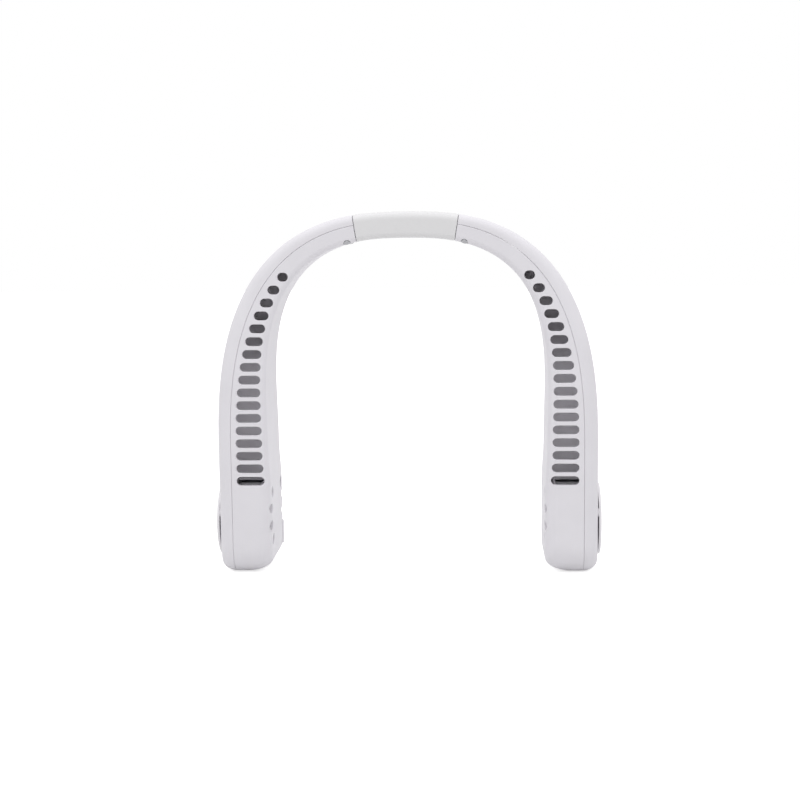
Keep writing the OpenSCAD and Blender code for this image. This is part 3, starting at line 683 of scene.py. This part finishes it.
class NECKFAN_OT_arm_shells(bpy.types.Operator):
    """Model the two shells of each arm, with slots, ring of slots, parting line and sole"""

    bl_idname = "neckfan.arm_shells"
    bl_label = "Arm shells"

    def execute(self, context):
        scene = context.scene
        self.arch = scene.neck_fan_arch
        self.sizes = sizes = scene.neck_fan_shell
        self.trim = scene.neck_fan_trim
        self.form = ArmForm(self.arch)
        material = shell_finish()
        hollow = self.hollow_arm()
        outer = copy_of(hollow, "right_arm_outer_skin")
        prism = self.parting_prism(-1)
        combine(outer, prism, "INTERSECT")
        discard(prism)
        tabs = self.snap_tabs()
        combine(outer, tabs, "UNION")
        discard(tabs)
        holes = self.disc_holes()
        combine(outer, holes, "DIFFERENCE")
        discard(holes)
        inner = hollow
        prism = self.parting_prism(1)
        combine(inner, prism, "DIFFERENCE")
        discard(prism)
        bosses = self.blower_bosses()
        combine(inner, bosses, "UNION")
        discard(bosses)
        air = self.air_slots()
        combine(inner, air, "DIFFERENCE")
        discard(air)
        for reach, radius in ((sizes.wall + sizes.screw_seat_depth, sizes.screw_seat),
                              (3 * sizes.wall, sizes.screw_hole)):
            screws = self.screw_holes(reach, radius)
            combine(inner, screws, "DIFFERENCE")
            discard(screws)
        for side, sign in SIDES.items():
            skin = copy_of(outer, f"{side}_arm_outer_skin_piece")
            front = copy_of(inner, f"{side}_arm_inner_skin_piece")
            ring = self.ring_slots(sign < 0)
            combine(front, ring, "DIFFERENCE")
            discard(ring)
            if sign < 0:
                posts = self.board_posts()
                combine(front, posts, "UNION")
                discard(posts)
                ports = self.left_ports()
                combine(front, ports, "DIFFERENCE")
                discard(ports)
                for piece in (skin, front):
                    mirror(piece)
            for piece, node in ((skin, "outer_shell"), (front, "inner_shell")):
                smooth_with_edges(piece)
                stand_for(piece, f"{side}_{node}", f"{side}_arm", material)
        discard(outer)
        discard(inner)
        return {"FINISHED"}

    def hollow_arm(self):
        form, end, r = self.form, self.arch.arm_end, self.sizes.end_round
        body = form.leg_stations() + form.arch_stations(end)
        rings = [form.section(s) for s in body[:-1]]
        reach = r / form.radius(end)
        for k in range(4):
            turn = math.radians(30 * k)
            station = form.on_arch(end - reach * (1 - math.sin(turn)))
            rings.append(form.section(station, r * (1 - math.cos(turn))))
        bm = bmesh.new()
        loft(bm, rings)
        arm = object_from(bm, "arm_body")
        wall = self.sizes.wall
        inside = form.leg_stations(wall) + form.arch_stations(end)
        rings = [form.section(s, wall) for s in inside[:-1]]
        rings.append(form.section(form.on_arch(end + 4 * reach), wall))
        bm = bmesh.new()
        loft(bm, rings)
        cavity = object_from(bm, "arm_cavity")
        combine(arm, cavity, "DIFFERENCE")
        discard(cavity)
        return arm

    def parting_prism(self, side):
        """All that lies outside the parting line; its edge is broken on the side given."""
        form, sizes, arch = self.form, self.sizes, self.arch
        out = -2 * sizes.wall
        over = sizes.wall / 3
        c = sizes.parting_chamfer
        stations = form.leg_stations()
        for s in stations:
            s.place.x = arch.half_width
        low = stations[0]
        stations.insert(0, Station(low.place - Vector((0, sizes.wall)), low.normal,
                                   low.thickness, low.depth, low.parting))
        stations += form.arch_stations(arch.arm_end)[:-1]
        stations.append(form.on_arch(arch.arm_end + math.radians(2)))
        rings = []
        for s in stations:
            line = s.parting + side * sizes.parting_slit
            edge, lip = s.depth / 2 + over, s.depth / 2 - c
            slope = line + side * (c + over)
            rings.append([s.point(out, -edge), s.point(slope, -edge), s.point(line, -lip),
                          s.point(line, lip), s.point(slope, edge), s.point(out, edge)])
        bm = bmesh.new()
        loft(bm, rings)
        return object_from(bm, "parting_prism")

    def snap_tabs(self):
        """Tabs of the outer shell that snap behind the walls of the inner one."""
        arch, sizes = self.arch, self.sizes
        seam = arch.half_width - arch.parting_inset
        slide = arch.foot_depth / 2 - sizes.wall - sizes.tab_play
        bm = bmesh.new()
        for height, sign in ((sizes.tab_high, -1), (sizes.tab_high, 1), (sizes.tab_low, 1)):
            y = sorted((sign * slide, sign * (slide - sizes.tab_thickness)))
            block(bm, Vector((seam - sizes.tab_reach, y[0], height - sizes.tab_width / 2)),
                  Vector((seam + arch.parting_inset / 2, y[1], height + sizes.tab_width / 2)),
                  sizes.tab_round)
        return object_from(bm, "snap_tabs")

    def board_posts(self):
        """Posts under the control board, drawn on the unmirrored arm."""
        sizes = self.sizes
        low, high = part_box("left_control_board")
        floor = sizes.wall * 0.9
        bm = bmesh.new()
        for reach in (sizes.board_post_near, sizes.board_post_far):
            cylinder(bm, Vector((reach - high.x, low.y + sizes.board_post_side, floor)), AXIS_Z,
                     low.z - floor, sizes.board_post_radius)
        return object_from(bm, "board_posts")

    def disc_holes(self):
        """Intake opening and the holes of the disc's pins."""
        trim, wall = self.trim, self.sizes.wall
        height = middle("right_intake_disc", 2)
        start = Vector((self.arch.half_width - 2 * wall, 0, height))
        bm = bmesh.new()
        cylinder(bm, start, AXIS_X, 3 * wall, trim.intake_radius, 96)
        for y, z in post_places(trim):
            cylinder(bm, start + Vector((0, y, z)), AXIS_X, 3 * wall, trim.pin_radius * 1.05)
        return object_from(bm, "disc_holes")

    def blower_bosses(self):
        """Bosses on the inner wall that the blower's screws go into."""
        sizes = self.sizes
        inner_wall = self.arch.half_width - self.arch.foot_thickness + sizes.wall
        bm = bmesh.new()
        for y, z in screw_places("right_blower_screws"):
            cylinder(bm, Vector((inner_wall - sizes.wall / 3, y, z)), AXIS_X,
                     sizes.boss_length + sizes.wall / 3, sizes.boss_radius)
        return object_from(bm, "blower_bosses")

    def air_slots(self):
        form, sizes, arch = self.form, self.sizes, self.arch
        bm = bmesh.new()
        for k in range(sizes.slot_count):
            height = sizes.slot_low + k * sizes.slot_pitch
            inner, outer = self.slot_ends(height)
            centre = Vector(((inner + outer) / 2, height))
            long = max(outer - inner, sizes.slot_height + arch.least_corner)
            rounded_hole(bm, stadium(long, sizes.slot_height),
                         lambda p, c=centre: Vector((c.x + p.x, 0, c.y + p.y)), AXIS_Y,
                         lambda spot: form.front_side(Vector((spot.x, spot.z))),
                         2.5 * sizes.wall, sizes.edge_round)
        return object_from(bm, "air_slots")

    def slot_ends(self, height):
        """Where a slot ends, by halving the range of directions on the arch."""
        form, sizes, arch = self.form, self.sizes, self.arch
        if height < arch.shoulder_height:
            return (arch.half_width - form.full_thickness(height) + sizes.slot_inner_inset,
                    arch.half_width - sizes.slot_outer_inset)

        def outer_spot(turn):
            return form.on_arch(turn).inset(sizes.slot_outer_inset)

        def inner_spot(turn):
            station = form.on_arch(turn)
            return station.inset(station.thickness - sizes.slot_inner_inset)

        ends = [spot(halve(lambda turn, f=spot: f(turn).y < height, 0, math.pi / 2)).x
                for spot in (inner_spot, outer_spot)]
        return ends[0], ends[1]

    def ring_slots(self, by_button):
        form, sizes = self.form, self.sizes
        bm = bmesh.new()
        middle_r = sizes.ring_reach - sizes.ring_slot_length / 2
        for k in range(sizes.ring_count):
            way = math.tau * (k + 0.5) / sizes.ring_count
            if abs(math.cos(way)) < sizes.ring_arc or by_button and k == sizes.ring_button_slot:
                continue
            turn = Matrix.Rotation(way, 2)

            def place(p, m=turn):
                flat = m @ Vector((middle_r + p.x, p.y))
                return Vector((0, flat.x, sizes.ring_height + flat.y))

            rounded_hole(bm, stadium(sizes.ring_slot_length, sizes.ring_slot_width), place,
                         AXIS_X, lambda spot: form.inner_face(spot.y, spot.z),
                         1.8 * sizes.wall, sizes.edge_round)
        return object_from(bm, "ring_slots")

    def screw_holes(self, reach, radius):
        """Seats or holes of the anchor screws, in the rounding under the arm's end."""
        sizes = self.sizes
        station = self.form.on_arch(sizes.screw_turn)
        r = self.form.corner_radii(station.thickness)[1]
        up, aside = math.cos(sizes.screw_tilt), math.sin(sizes.screw_tilt)
        bm = bmesh.new()
        for sign in (-1, 1):
            axis = Vector((up * station.normal.x, -sign * aside, up * station.normal.y))
            start = station.point(station.thickness - r * (1 - up),
                                  sign * (station.depth / 2 - r * (1 - aside)))
            start -= axis * sizes.wall
            cylinder(bm, start, axis, reach, radius)
        return object_from(bm, "screw_holes")

    def left_ports(self):
        """Holes for the power button and the charging socket, drawn on the unmirrored arm."""
        form, sizes, trim = self.form, self.sizes, self.trim
        low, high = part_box("left_power_button")
        bm = bmesh.new()
        gap = 2 * sizes.button_fit
        centre = Vector((high.y - trim.button_width / 2, (low.z + high.z) / 2))
        rounded_hole(bm, stadium(high.z - low.z + gap, trim.button_width + gap),
                     lambda p: Vector((0, centre.x - p.y, centre.y + p.x)), AXIS_X,
                     lambda spot: form.inner_face(spot.y, spot.z), 2.2 * sizes.wall,
                     sizes.edge_round / 2)
        low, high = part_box("left_charging_socket")
        gap = 2 * sizes.socket_fit
        socket = Vector((-(low.x + high.x) / 2, (low.z + high.z) / 2))
        rounded_hole(bm, stadium(high.x - low.x + gap, high.z - low.z + gap),
                     lambda p: Vector((socket.x + p.x, 0, socket.y + p.y)), -AXIS_Y,
                     lambda spot: -self.back_side(spot.z), 4 * sizes.wall,
                     sizes.edge_round / 2)
        return object_from(bm, "left_ports")

    def back_side(self, height):
        return self.form.on_leg(height).depth / 2


def post_places(trim):
    """Places of a disc's posts in Y and Z, from the disc's centre."""
    turns = [trim.post_turn + math.tau * k / trim.post_count for k in range(trim.post_count)]
    return [(-trim.post_place * math.cos(t), trim.post_place * math.sin(t)) for t in turns]


def screw_places(node):
    """Places in Y and Z of the screws of a node."""
    bm = bmesh.new()
    bm.from_mesh(frame["nodes"][node].data)
    bmesh.ops.remove_doubles(bm, verts=bm.verts[:], dist=1e-6)
    left = set(bm.verts)
    places = []
    while left:
        reached = [left.pop()]
        group = []
        while reached:
            vert = reached.pop()
            group.append(vert.co.yz)
            others = {edge.other_vert(vert) for edge in vert.link_edges} & left
            left -= others
            reached += others
        places.append([(min(spot[i] for spot in group) + max(spot[i] for spot in group)) / 2
                       for i in (0, 1)])
    bm.free()
    return places


class NECKFAN_OT_neck_sleeve(bpy.types.Operator):
    """Model the soft sleeve over the nape as two halves"""

    bl_idname = "neckfan.neck_sleeve"
    bl_label = "Neck sleeve"
    steps = 28

    def execute(self, context):
        scene = context.scene
        arch, trim = scene.neck_fan_arch, scene.neck_fan_trim
        form = ArmForm(arch)
        material = finish("white_silicone", scene.neck_fan_finish.sleeve, variation=0.01,
                          blotch=45.0, grain=3200.0, relief=0.04, rough=(0.44, 0.52),
                          sheen=0.08)
        end = arch.arm_end + trim.sleeve_gap / form.radius(arch.arm_end)
        r = trim.sleeve_round
        reach = r / form.radius(end)
        rings = [form.section(form.on_arch(t)) for t in spread(math.pi / 2, end + reach, self.steps)]
        for k in range(1, 4):
            turn = math.radians(30 * k)
            rings.append(form.section(form.on_arch(end + reach * (1 - math.sin(turn))),
                                      r * (1 - math.cos(turn))))
        rings += [form.section(form.on_arch(t), trim.sleeve_wall)
                  for t in spread(end, math.pi / 2, self.steps)]
        bm = bmesh.new()
        loft(bm, rings, hollow=True)
        right = object_from(bm, "neck_sleeve_right_half")
        left = mirrored(right, "neck_sleeve_left_half")
        for half, side in ((right, "right"), (left, "left")):
            smooth_with_edges(half)
            bend_half(half, side, "neck_sleeve", material)
        return {"FINISHED"}


def bend_half(half, side, node, material):
    """A half of a soft piece: gives it its finish, hides the CAD node and bakes its place into its
    mesh.
    """
    arch = bpy.context.scene.neck_fan_arch
    reach = ArmForm(arch).on_arch(arch.arm_end).place.x * SIDES[side]
    half.data.materials.clear()
    half.data.materials.append(material)
    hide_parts(node)
    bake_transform(half)


class NECKFAN_OT_band_core(bpy.types.Operator):
    """Split the spring strip and the lead inside the sleeve into halves"""

    bl_idname = "neckfan.band_core"
    bl_label = "Band core"

    def execute(self, context):
        colours = context.scene.neck_fan_finish
        steel = finish("brushed_spring_steel", colours.steel, variation=0.05, grain=900.0,
                       relief=0.12, rough=(0.24, 0.38), metallic=1.0, stretch=(0.05, 4.0, 0.4))
        rubber = finish("lead_jacket_rubber", colours.jacket, variation=0.1, grain=2400.0,
                        relief=0.1, rough=(0.5, 0.62), stretch=(0.3, 1, 1))
        for node, slot, material in (("spring_strip", "spring_steel", steel),
                                     ("band_lead", "lead_jacket", rubber)):
            for side, sign in SIDES.items():
                half = self.half_of(node, side, sign)
                smooth_with_edges(half)
                bend_half(half, side, node, material)
        return {"FINISHED"}

    def half_of(self, node, side, sign):
        bm = bmesh.new()
        bm.from_mesh(frame["nodes"][node].data)
        bmesh.ops.remove_doubles(bm, verts=bm.verts[:], dist=1e-6)
        cut = bmesh.ops.bisect_plane(bm, geom=bm.verts[:] + bm.edges[:] + bm.faces[:],
                                     plane_co=(0, 0, 0), plane_no=(-sign, 0, 0),
                                     clear_outer=True)["geom_cut"]
        bmesh.ops.edgeloop_fill(bm, edges=[e for e in cut if isinstance(e, bmesh.types.BMEdge)])
        return object_from(bm, f"{node}_{side}_half")


class NECKFAN_OT_intake_discs(bpy.types.Operator):
    """Model the domed disc and its posts over each outer intake"""

    bl_idname = "neckfan.intake_discs"
    bl_label = "Intake discs"

    def execute(self, context):
        scene = context.scene
        trim = scene.neck_fan_trim
        colours = scene.neck_fan_finish
        # The paler bounced colour is painted light under the disc
        material = finish("satin_white_disc", colours.disc, rough=(0.36, 0.44),
                          painted_bounce_light=colours.painted_bounce_light)
        face = scene.neck_fan_arch.half_width
        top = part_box("right_intake_disc")[1].x
        radius = span("right_intake_disc", 2) / 2
        height = middle("right_intake_disc", 2)
        under, rim = face + trim.disc_gap, top - trim.disc_rise
        r = trim.disc_round
        bm = bmesh.new()
        sphere = (radius ** 2 + trim.disc_rise ** 2) / (2 * trim.disc_rise)
        profile = [(top - sphere + math.sqrt(sphere ** 2 - (radius * u) ** 2), radius * u)
                   for u in spread(0, 1 - r / radius, 10)]
        profile += [(rim - r * (1 - math.cos(math.radians(a))),
                     radius - r * (1 - math.sin(math.radians(a)))) for a in (20, 45, 70, 90)]
        profile += [(under + r / 2, radius), (under, radius - r / 2), (under, 0)]
        chain = [bm.verts.new((x, 0, height + out)) for x, out in profile]
        edges = [bm.edges.new(pair) for pair in zip(chain, chain[1:])]
        bmesh.ops.spin(bm, geom=chain + edges, cent=(0, 0, height), axis=(1, 0, 0),
                       angle=math.tau, steps=128, use_merge=True)
        bmesh.ops.remove_doubles(bm, verts=bm.verts[:], dist=1e-6)
        disc = object_from(bm, "right_disc_skin")
        wall = scene.neck_fan_shell.wall
        for start, reach, post in ((face, trim.disc_gap * 1.2, trim.post_radius),
                                   (face - wall, wall * 1.1, trim.pin_radius)):
            bm = bmesh.new()
            for y, z in post_places(trim):
                cylinder(bm, Vector((start, y, height + z)), AXIS_X, reach, post)
            posts = object_from(bm, "disc_posts")
            combine(disc, posts, "UNION")
            discard(posts)
        for side, piece in (("right", disc), ("left", mirrored(disc, "left_disc_skin"))):
            smooth_with_edges(piece)
            stand_for(piece, f"{side}_intake_disc", f"{side}_arm", material)
        return {"FINISHED"}


class NECKFAN_OT_power_button(bpy.types.Operator):
    """Round the edge of the power button"""

    bl_idname = "neckfan.power_button"
    bl_label = "Power button"

    def execute(self, context):
        scene = context.scene
        material = finish("button_white", scene.neck_fan_finish.button, rough=(0.34, 0.42))
        bm = bmesh.new()
        bm.from_mesh(frame["nodes"]["left_power_button"].data)
        bmesh.ops.remove_doubles(bm, verts=bm.verts[:], dist=1e-6)
        bmesh.ops.dissolve_limit(bm, angle_limit=math.radians(1), verts=bm.verts[:],
                                 edges=bm.edges[:])
        face_x = max(v.co.x for v in bm.verts)
        rim = [e for e in bm.edges if all(face_x - v.co.x < 1e-6 for v in e.verts)]
        bmesh.ops.bevel(bm, geom=rim, offset=scene.neck_fan_trim.button_round, segments=4,
                        affect="EDGES", profile=0.5, material=-1, offset_type="OFFSET")
        button = object_from(bm, "power_button_skin")
        smooth_with_edges(button)
        stand_for(button, "left_power_button", "power_button", material)
        return {"FINISHED"}


class NECKFAN_OT_inner_finishes(bpy.types.Operator):
    """Give every piece inside the arms its own finish"""

    bl_idname = "neckfan.inner_finishes"
    bl_label = "Inner finishes"

    def execute(self, context):
        c = context.scene.neck_fan_finish
        # The paler bounced colour of the inner plastics is painted light inside the arms
        plastic = finish("white_inner_plastic", c.inner_plastic, variation=0.04, blotch=90.0,
                         grain=1800.0, relief=0.15, rough=(0.45, 0.6), painted_bounce_light=c.painted_bounce_light)
        fan = finish("pale_impeller_plastic", c.impeller, variation=0.03, relief=0.06,
                     rough=(0.35, 0.45), painted_bounce_light=c.painted_bounce_light)
        steel = finish("bright_screw_steel", c.steel, variation=0.04, grain=1500.0, relief=0.1,
                       rough=(0.22, 0.34), metallic=1.0)
        dark = finish("grey_screw_steel", c.dark_steel, variation=0.1, grain=1500.0,
                      relief=0.1, rough=(0.36, 0.5), metallic=1.0)
        shaft = finish("ground_shaft_steel", c.steel, variation=0.03, grain=700.0, relief=0.08,
                       rough=(0.14, 0.24), metallic=1.0, stretch=(8.0, 0.3, 0.3))
        stack = finish("laminated_stator_steel", c.lamination, variation=0.08, rough=(0.3, 0.42),
                       metallic=1.0, band=("X", 0.00035, 0.00006))
        copper = finish("wound_copper_wire", c.copper, variation=0.08, rough=(0.22, 0.34),
                        metallic=1.0, band=("X", 0.00028, 0.0001))
        bronze = finish("sintered_bronze", c.bronze, variation=0.15, blotch=700.0, relief=0.3,
                        rough=(0.36, 0.5), metallic=1.0)
        ferrite = finish("moulded_ferrite", c.ferrite, variation=0.15, blotch=500.0, relief=0.3,
                         rough=(0.5, 0.66))
        wrap = finish("shrunk_cell_wrap", c.wrap, variation=0.05, blotch=120.0, grain=400.0,
                      relief=0.2, rough=(0.24, 0.34), stretch=(1, 1, 0.15))
        mask = finish("board_solder_mask", c.laminate, variation=0.12, blotch=300.0,
                      rough=(0.24, 0.36), band=("Y", 0.0005, 0.00004))
        black = finish("black_switch_plastic", c.black_plastic, variation=0.08, relief=0.15,
                       rough=(0.4, 0.52))
        plated = finish("plated_socket_steel", c.steel, variation=0.03, grain=1200.0,
                        relief=0.06, rough=(0.16, 0.26), metallic=1.0)
        finishes = {
            "blower_base": plastic, "blower_cover": plastic, "duct_wall": plastic,
            "band_anchor": plastic, "impeller": fan, "blower_screws": steel,
            "anchor_screws": dark, "motor_shaft": shaft, "motor_stator": stack,
            "motor_coils": copper, "motor_bearing": bronze, "rotor_magnet": ferrite,
            "battery": wrap, "control_board": mask, "power_switch": black,
            "charging_socket": plated,
        }
        for name, obj in frame["nodes"].items():
            for piece, material in finishes.items():
                if name.endswith(piece):
                    obj.data.materials.clear()
                    obj.data.materials.append(material)
        return {"FINISHED"}


# ---------------------------------------------------------------- the stage


class NECKFAN_OT_stage(bpy.types.Operator):
    """Set the floor, the light and the camera"""

    bl_idname = "neckfan.stage"
    bl_label = "Stage"

    def execute(self, context):
        stage = context.scene.neck_fan_stage
        self.floor(stage)
        self.sky(context.scene, stage)
        self.lamps(stage)
        self.camera(context.scene, stage)
        context.scene.view_settings.view_transform = "Standard"
        return {"FINISHED"}

    def floor(self, stage):
        bm = bmesh.new()
        bmesh.ops.create_grid(bm, x_segments=1, y_segments=1, size=stage.floor_size / 2)
        floor = object_from(bm, "floor")
        material = bpy.data.materials.new("white_floor")
        material.use_nodes = True
        nodes, links = material.node_tree.nodes, material.node_tree.links
        nodes.clear()
        diffuse = nodes.new("ShaderNodeBsdfDiffuse")
        diffuse.inputs["Color"].default_value = (0.75, 0.75, 0.75, 1)
        glow = nodes.new("ShaderNodeEmission")
        path = nodes.new("ShaderNodeLightPath")
        seen = nodes.new("ShaderNodeMath")
        seen.operation = "MAXIMUM"
        links.new(path.outputs["Is Camera Ray"], seen.inputs[0])
        links.new(path.outputs["Is Glossy Ray"], seen.inputs[1])
        strength = nodes.new("ShaderNodeMath")
        strength.operation = "MULTIPLY"
        strength.inputs[1].default_value = 0.6
        links.new(seen.outputs[0], strength.inputs[0])
        links.new(strength.outputs[0], glow.inputs["Strength"])
        both = nodes.new("ShaderNodeAddShader")
        links.new(diffuse.outputs[0], both.inputs[0])
        links.new(glow.outputs[0], both.inputs[1])
        out = nodes.new("ShaderNodeOutputMaterial")
        links.new(both.outputs[0], out.inputs["Surface"])
        floor.data.materials.append(material)

    def sky(self, scene, stage):
        world = bpy.data.worlds.new("studio")
        scene.world = world
        world.use_nodes = True
        nodes, links = world.node_tree.nodes, world.node_tree.links
        background = nodes["Background"]
        background.inputs["Color"].default_value = (1, 1, 1, 1)
        path = nodes.new("ShaderNodeLightPath")
        seen = path.outputs["Is Camera Ray"]
        for name in ("Is Glossy Ray", "Is Transmission Ray"):
            more = nodes.new("ShaderNodeMath")
            more.operation = "MAXIMUM"
            links.new(seen, more.inputs[0])
            links.new(path.outputs[name], more.inputs[1])
            seen = more.outputs[0]
        strength = nodes.new("ShaderNodeMapRange")
        strength.inputs["To Min"].default_value = stage.sky
        strength.inputs["To Max"].default_value = 1.0
        links.new(seen, strength.inputs["Value"])
        links.new(strength.outputs["Result"], background.inputs["Strength"])

    def lamps(self, stage):
        middle_point = Vector((0, 0, stage.aim_height))
        for name, place, size, watts in (
                ("top_lamp", Vector((0.0, -0.1, 1.1)), 1.4, stage.top_lamp),
                ("front_lamp", Vector((-0.3, -1.3, 0.7)), 1.4, stage.front_lamp)):
            data = bpy.data.lights.new(name, "AREA")
            data.shape = "DISK"
            data.size = size
            data.energy = watts
            lamp = bpy.data.objects.new(name, data)
            lamp.location = place
            lamp.rotation_euler = (middle_point - place).to_track_quat("-Z", "Y").to_euler()
            bpy.context.scene.collection.objects.link(lamp)

    def camera(self, scene, stage):
        aim = Vector((stage.aim_side, 0, stage.aim_height))
        az, el, roll = stage.azimuth, stage.elevation, stage.roll
        back = Vector((math.sin(az) * math.cos(el), -math.cos(az) * math.cos(el), math.sin(el)))
        right = (-back).cross(AXIS_Z).normalized()
        up = right.cross(-back)
        level_right, level_up = right, up
        right = level_right * math.cos(roll) + level_up * math.sin(roll)
        up = level_up * math.cos(roll) - level_right * math.sin(roll)
        data = bpy.data.cameras.new("camera")
        data.lens = stage.focal_share * data.sensor_width
        camera = bpy.data.objects.new("camera", data)
        turn = Matrix((right, up, back)).transposed().to_4x4()
        camera.matrix_world = Matrix.Translation(aim + stage.distance * back) @ turn
        scene.collection.objects.link(camera)
        scene.camera = camera


class NECKFAN_PT_pieces(bpy.types.Panel):
    """Lists the pieces of the neck fan"""

    bl_idname = "NECKFAN_PT_pieces"
    bl_label = "Neck fan"
    bl_space_type = "VIEW_3D"
    bl_region_type = "UI"
    bl_category = "Neck fan"

    def draw(self, context):
        layout = self.layout
        for operator in OPERATORS:
            layout.operator(operator.bl_idname)
        for group in ("arch", "shell", "trim", "finish", "stage"):
            settings = getattr(context.scene, f"neck_fan_{group}")
            box = layout.box()
            for name in settings.__annotations__:
                box.prop(settings, name)


OPERATORS = (
    NECKFAN_OT_arm_shells,
    NECKFAN_OT_neck_sleeve,
    NECKFAN_OT_band_core,
    NECKFAN_OT_intake_discs,
    NECKFAN_OT_power_button,
    NECKFAN_OT_inner_finishes,
    NECKFAN_OT_stage,
)
GROUPS = {
    "neck_fan_arch": NeckFanArch,
    "neck_fan_shell": NeckFanShell,
    "neck_fan_trim": NeckFanTrim,
    "neck_fan_finish": NeckFanFinish,
    "neck_fan_stage": NeckFanStage,
}


def register():
    for cls in (*GROUPS.values(), *OPERATORS, NECKFAN_PT_pieces):
        bpy.utils.register_class(cls)
    for name, group in GROUPS.items():
        setattr(bpy.types.Scene, name, PointerProperty(type=group))


def unregister():
    for name in GROUPS:
        delattr(bpy.types.Scene, name)
    for cls in (NECKFAN_PT_pieces, *reversed(OPERATORS), *reversed(GROUPS.values())):
        bpy.utils.unregister_class(cls)


def main():
    register()
    bpy.ops.neckfan.arm_shells()
    bpy.ops.neckfan.neck_sleeve()
    bpy.ops.neckfan.band_core()
    bpy.ops.neckfan.intake_discs()
    bpy.ops.neckfan.power_button()
    bpy.ops.neckfan.inner_finishes()
    bpy.ops.neckfan.stage()


if __name__ == "__main__":
    main()
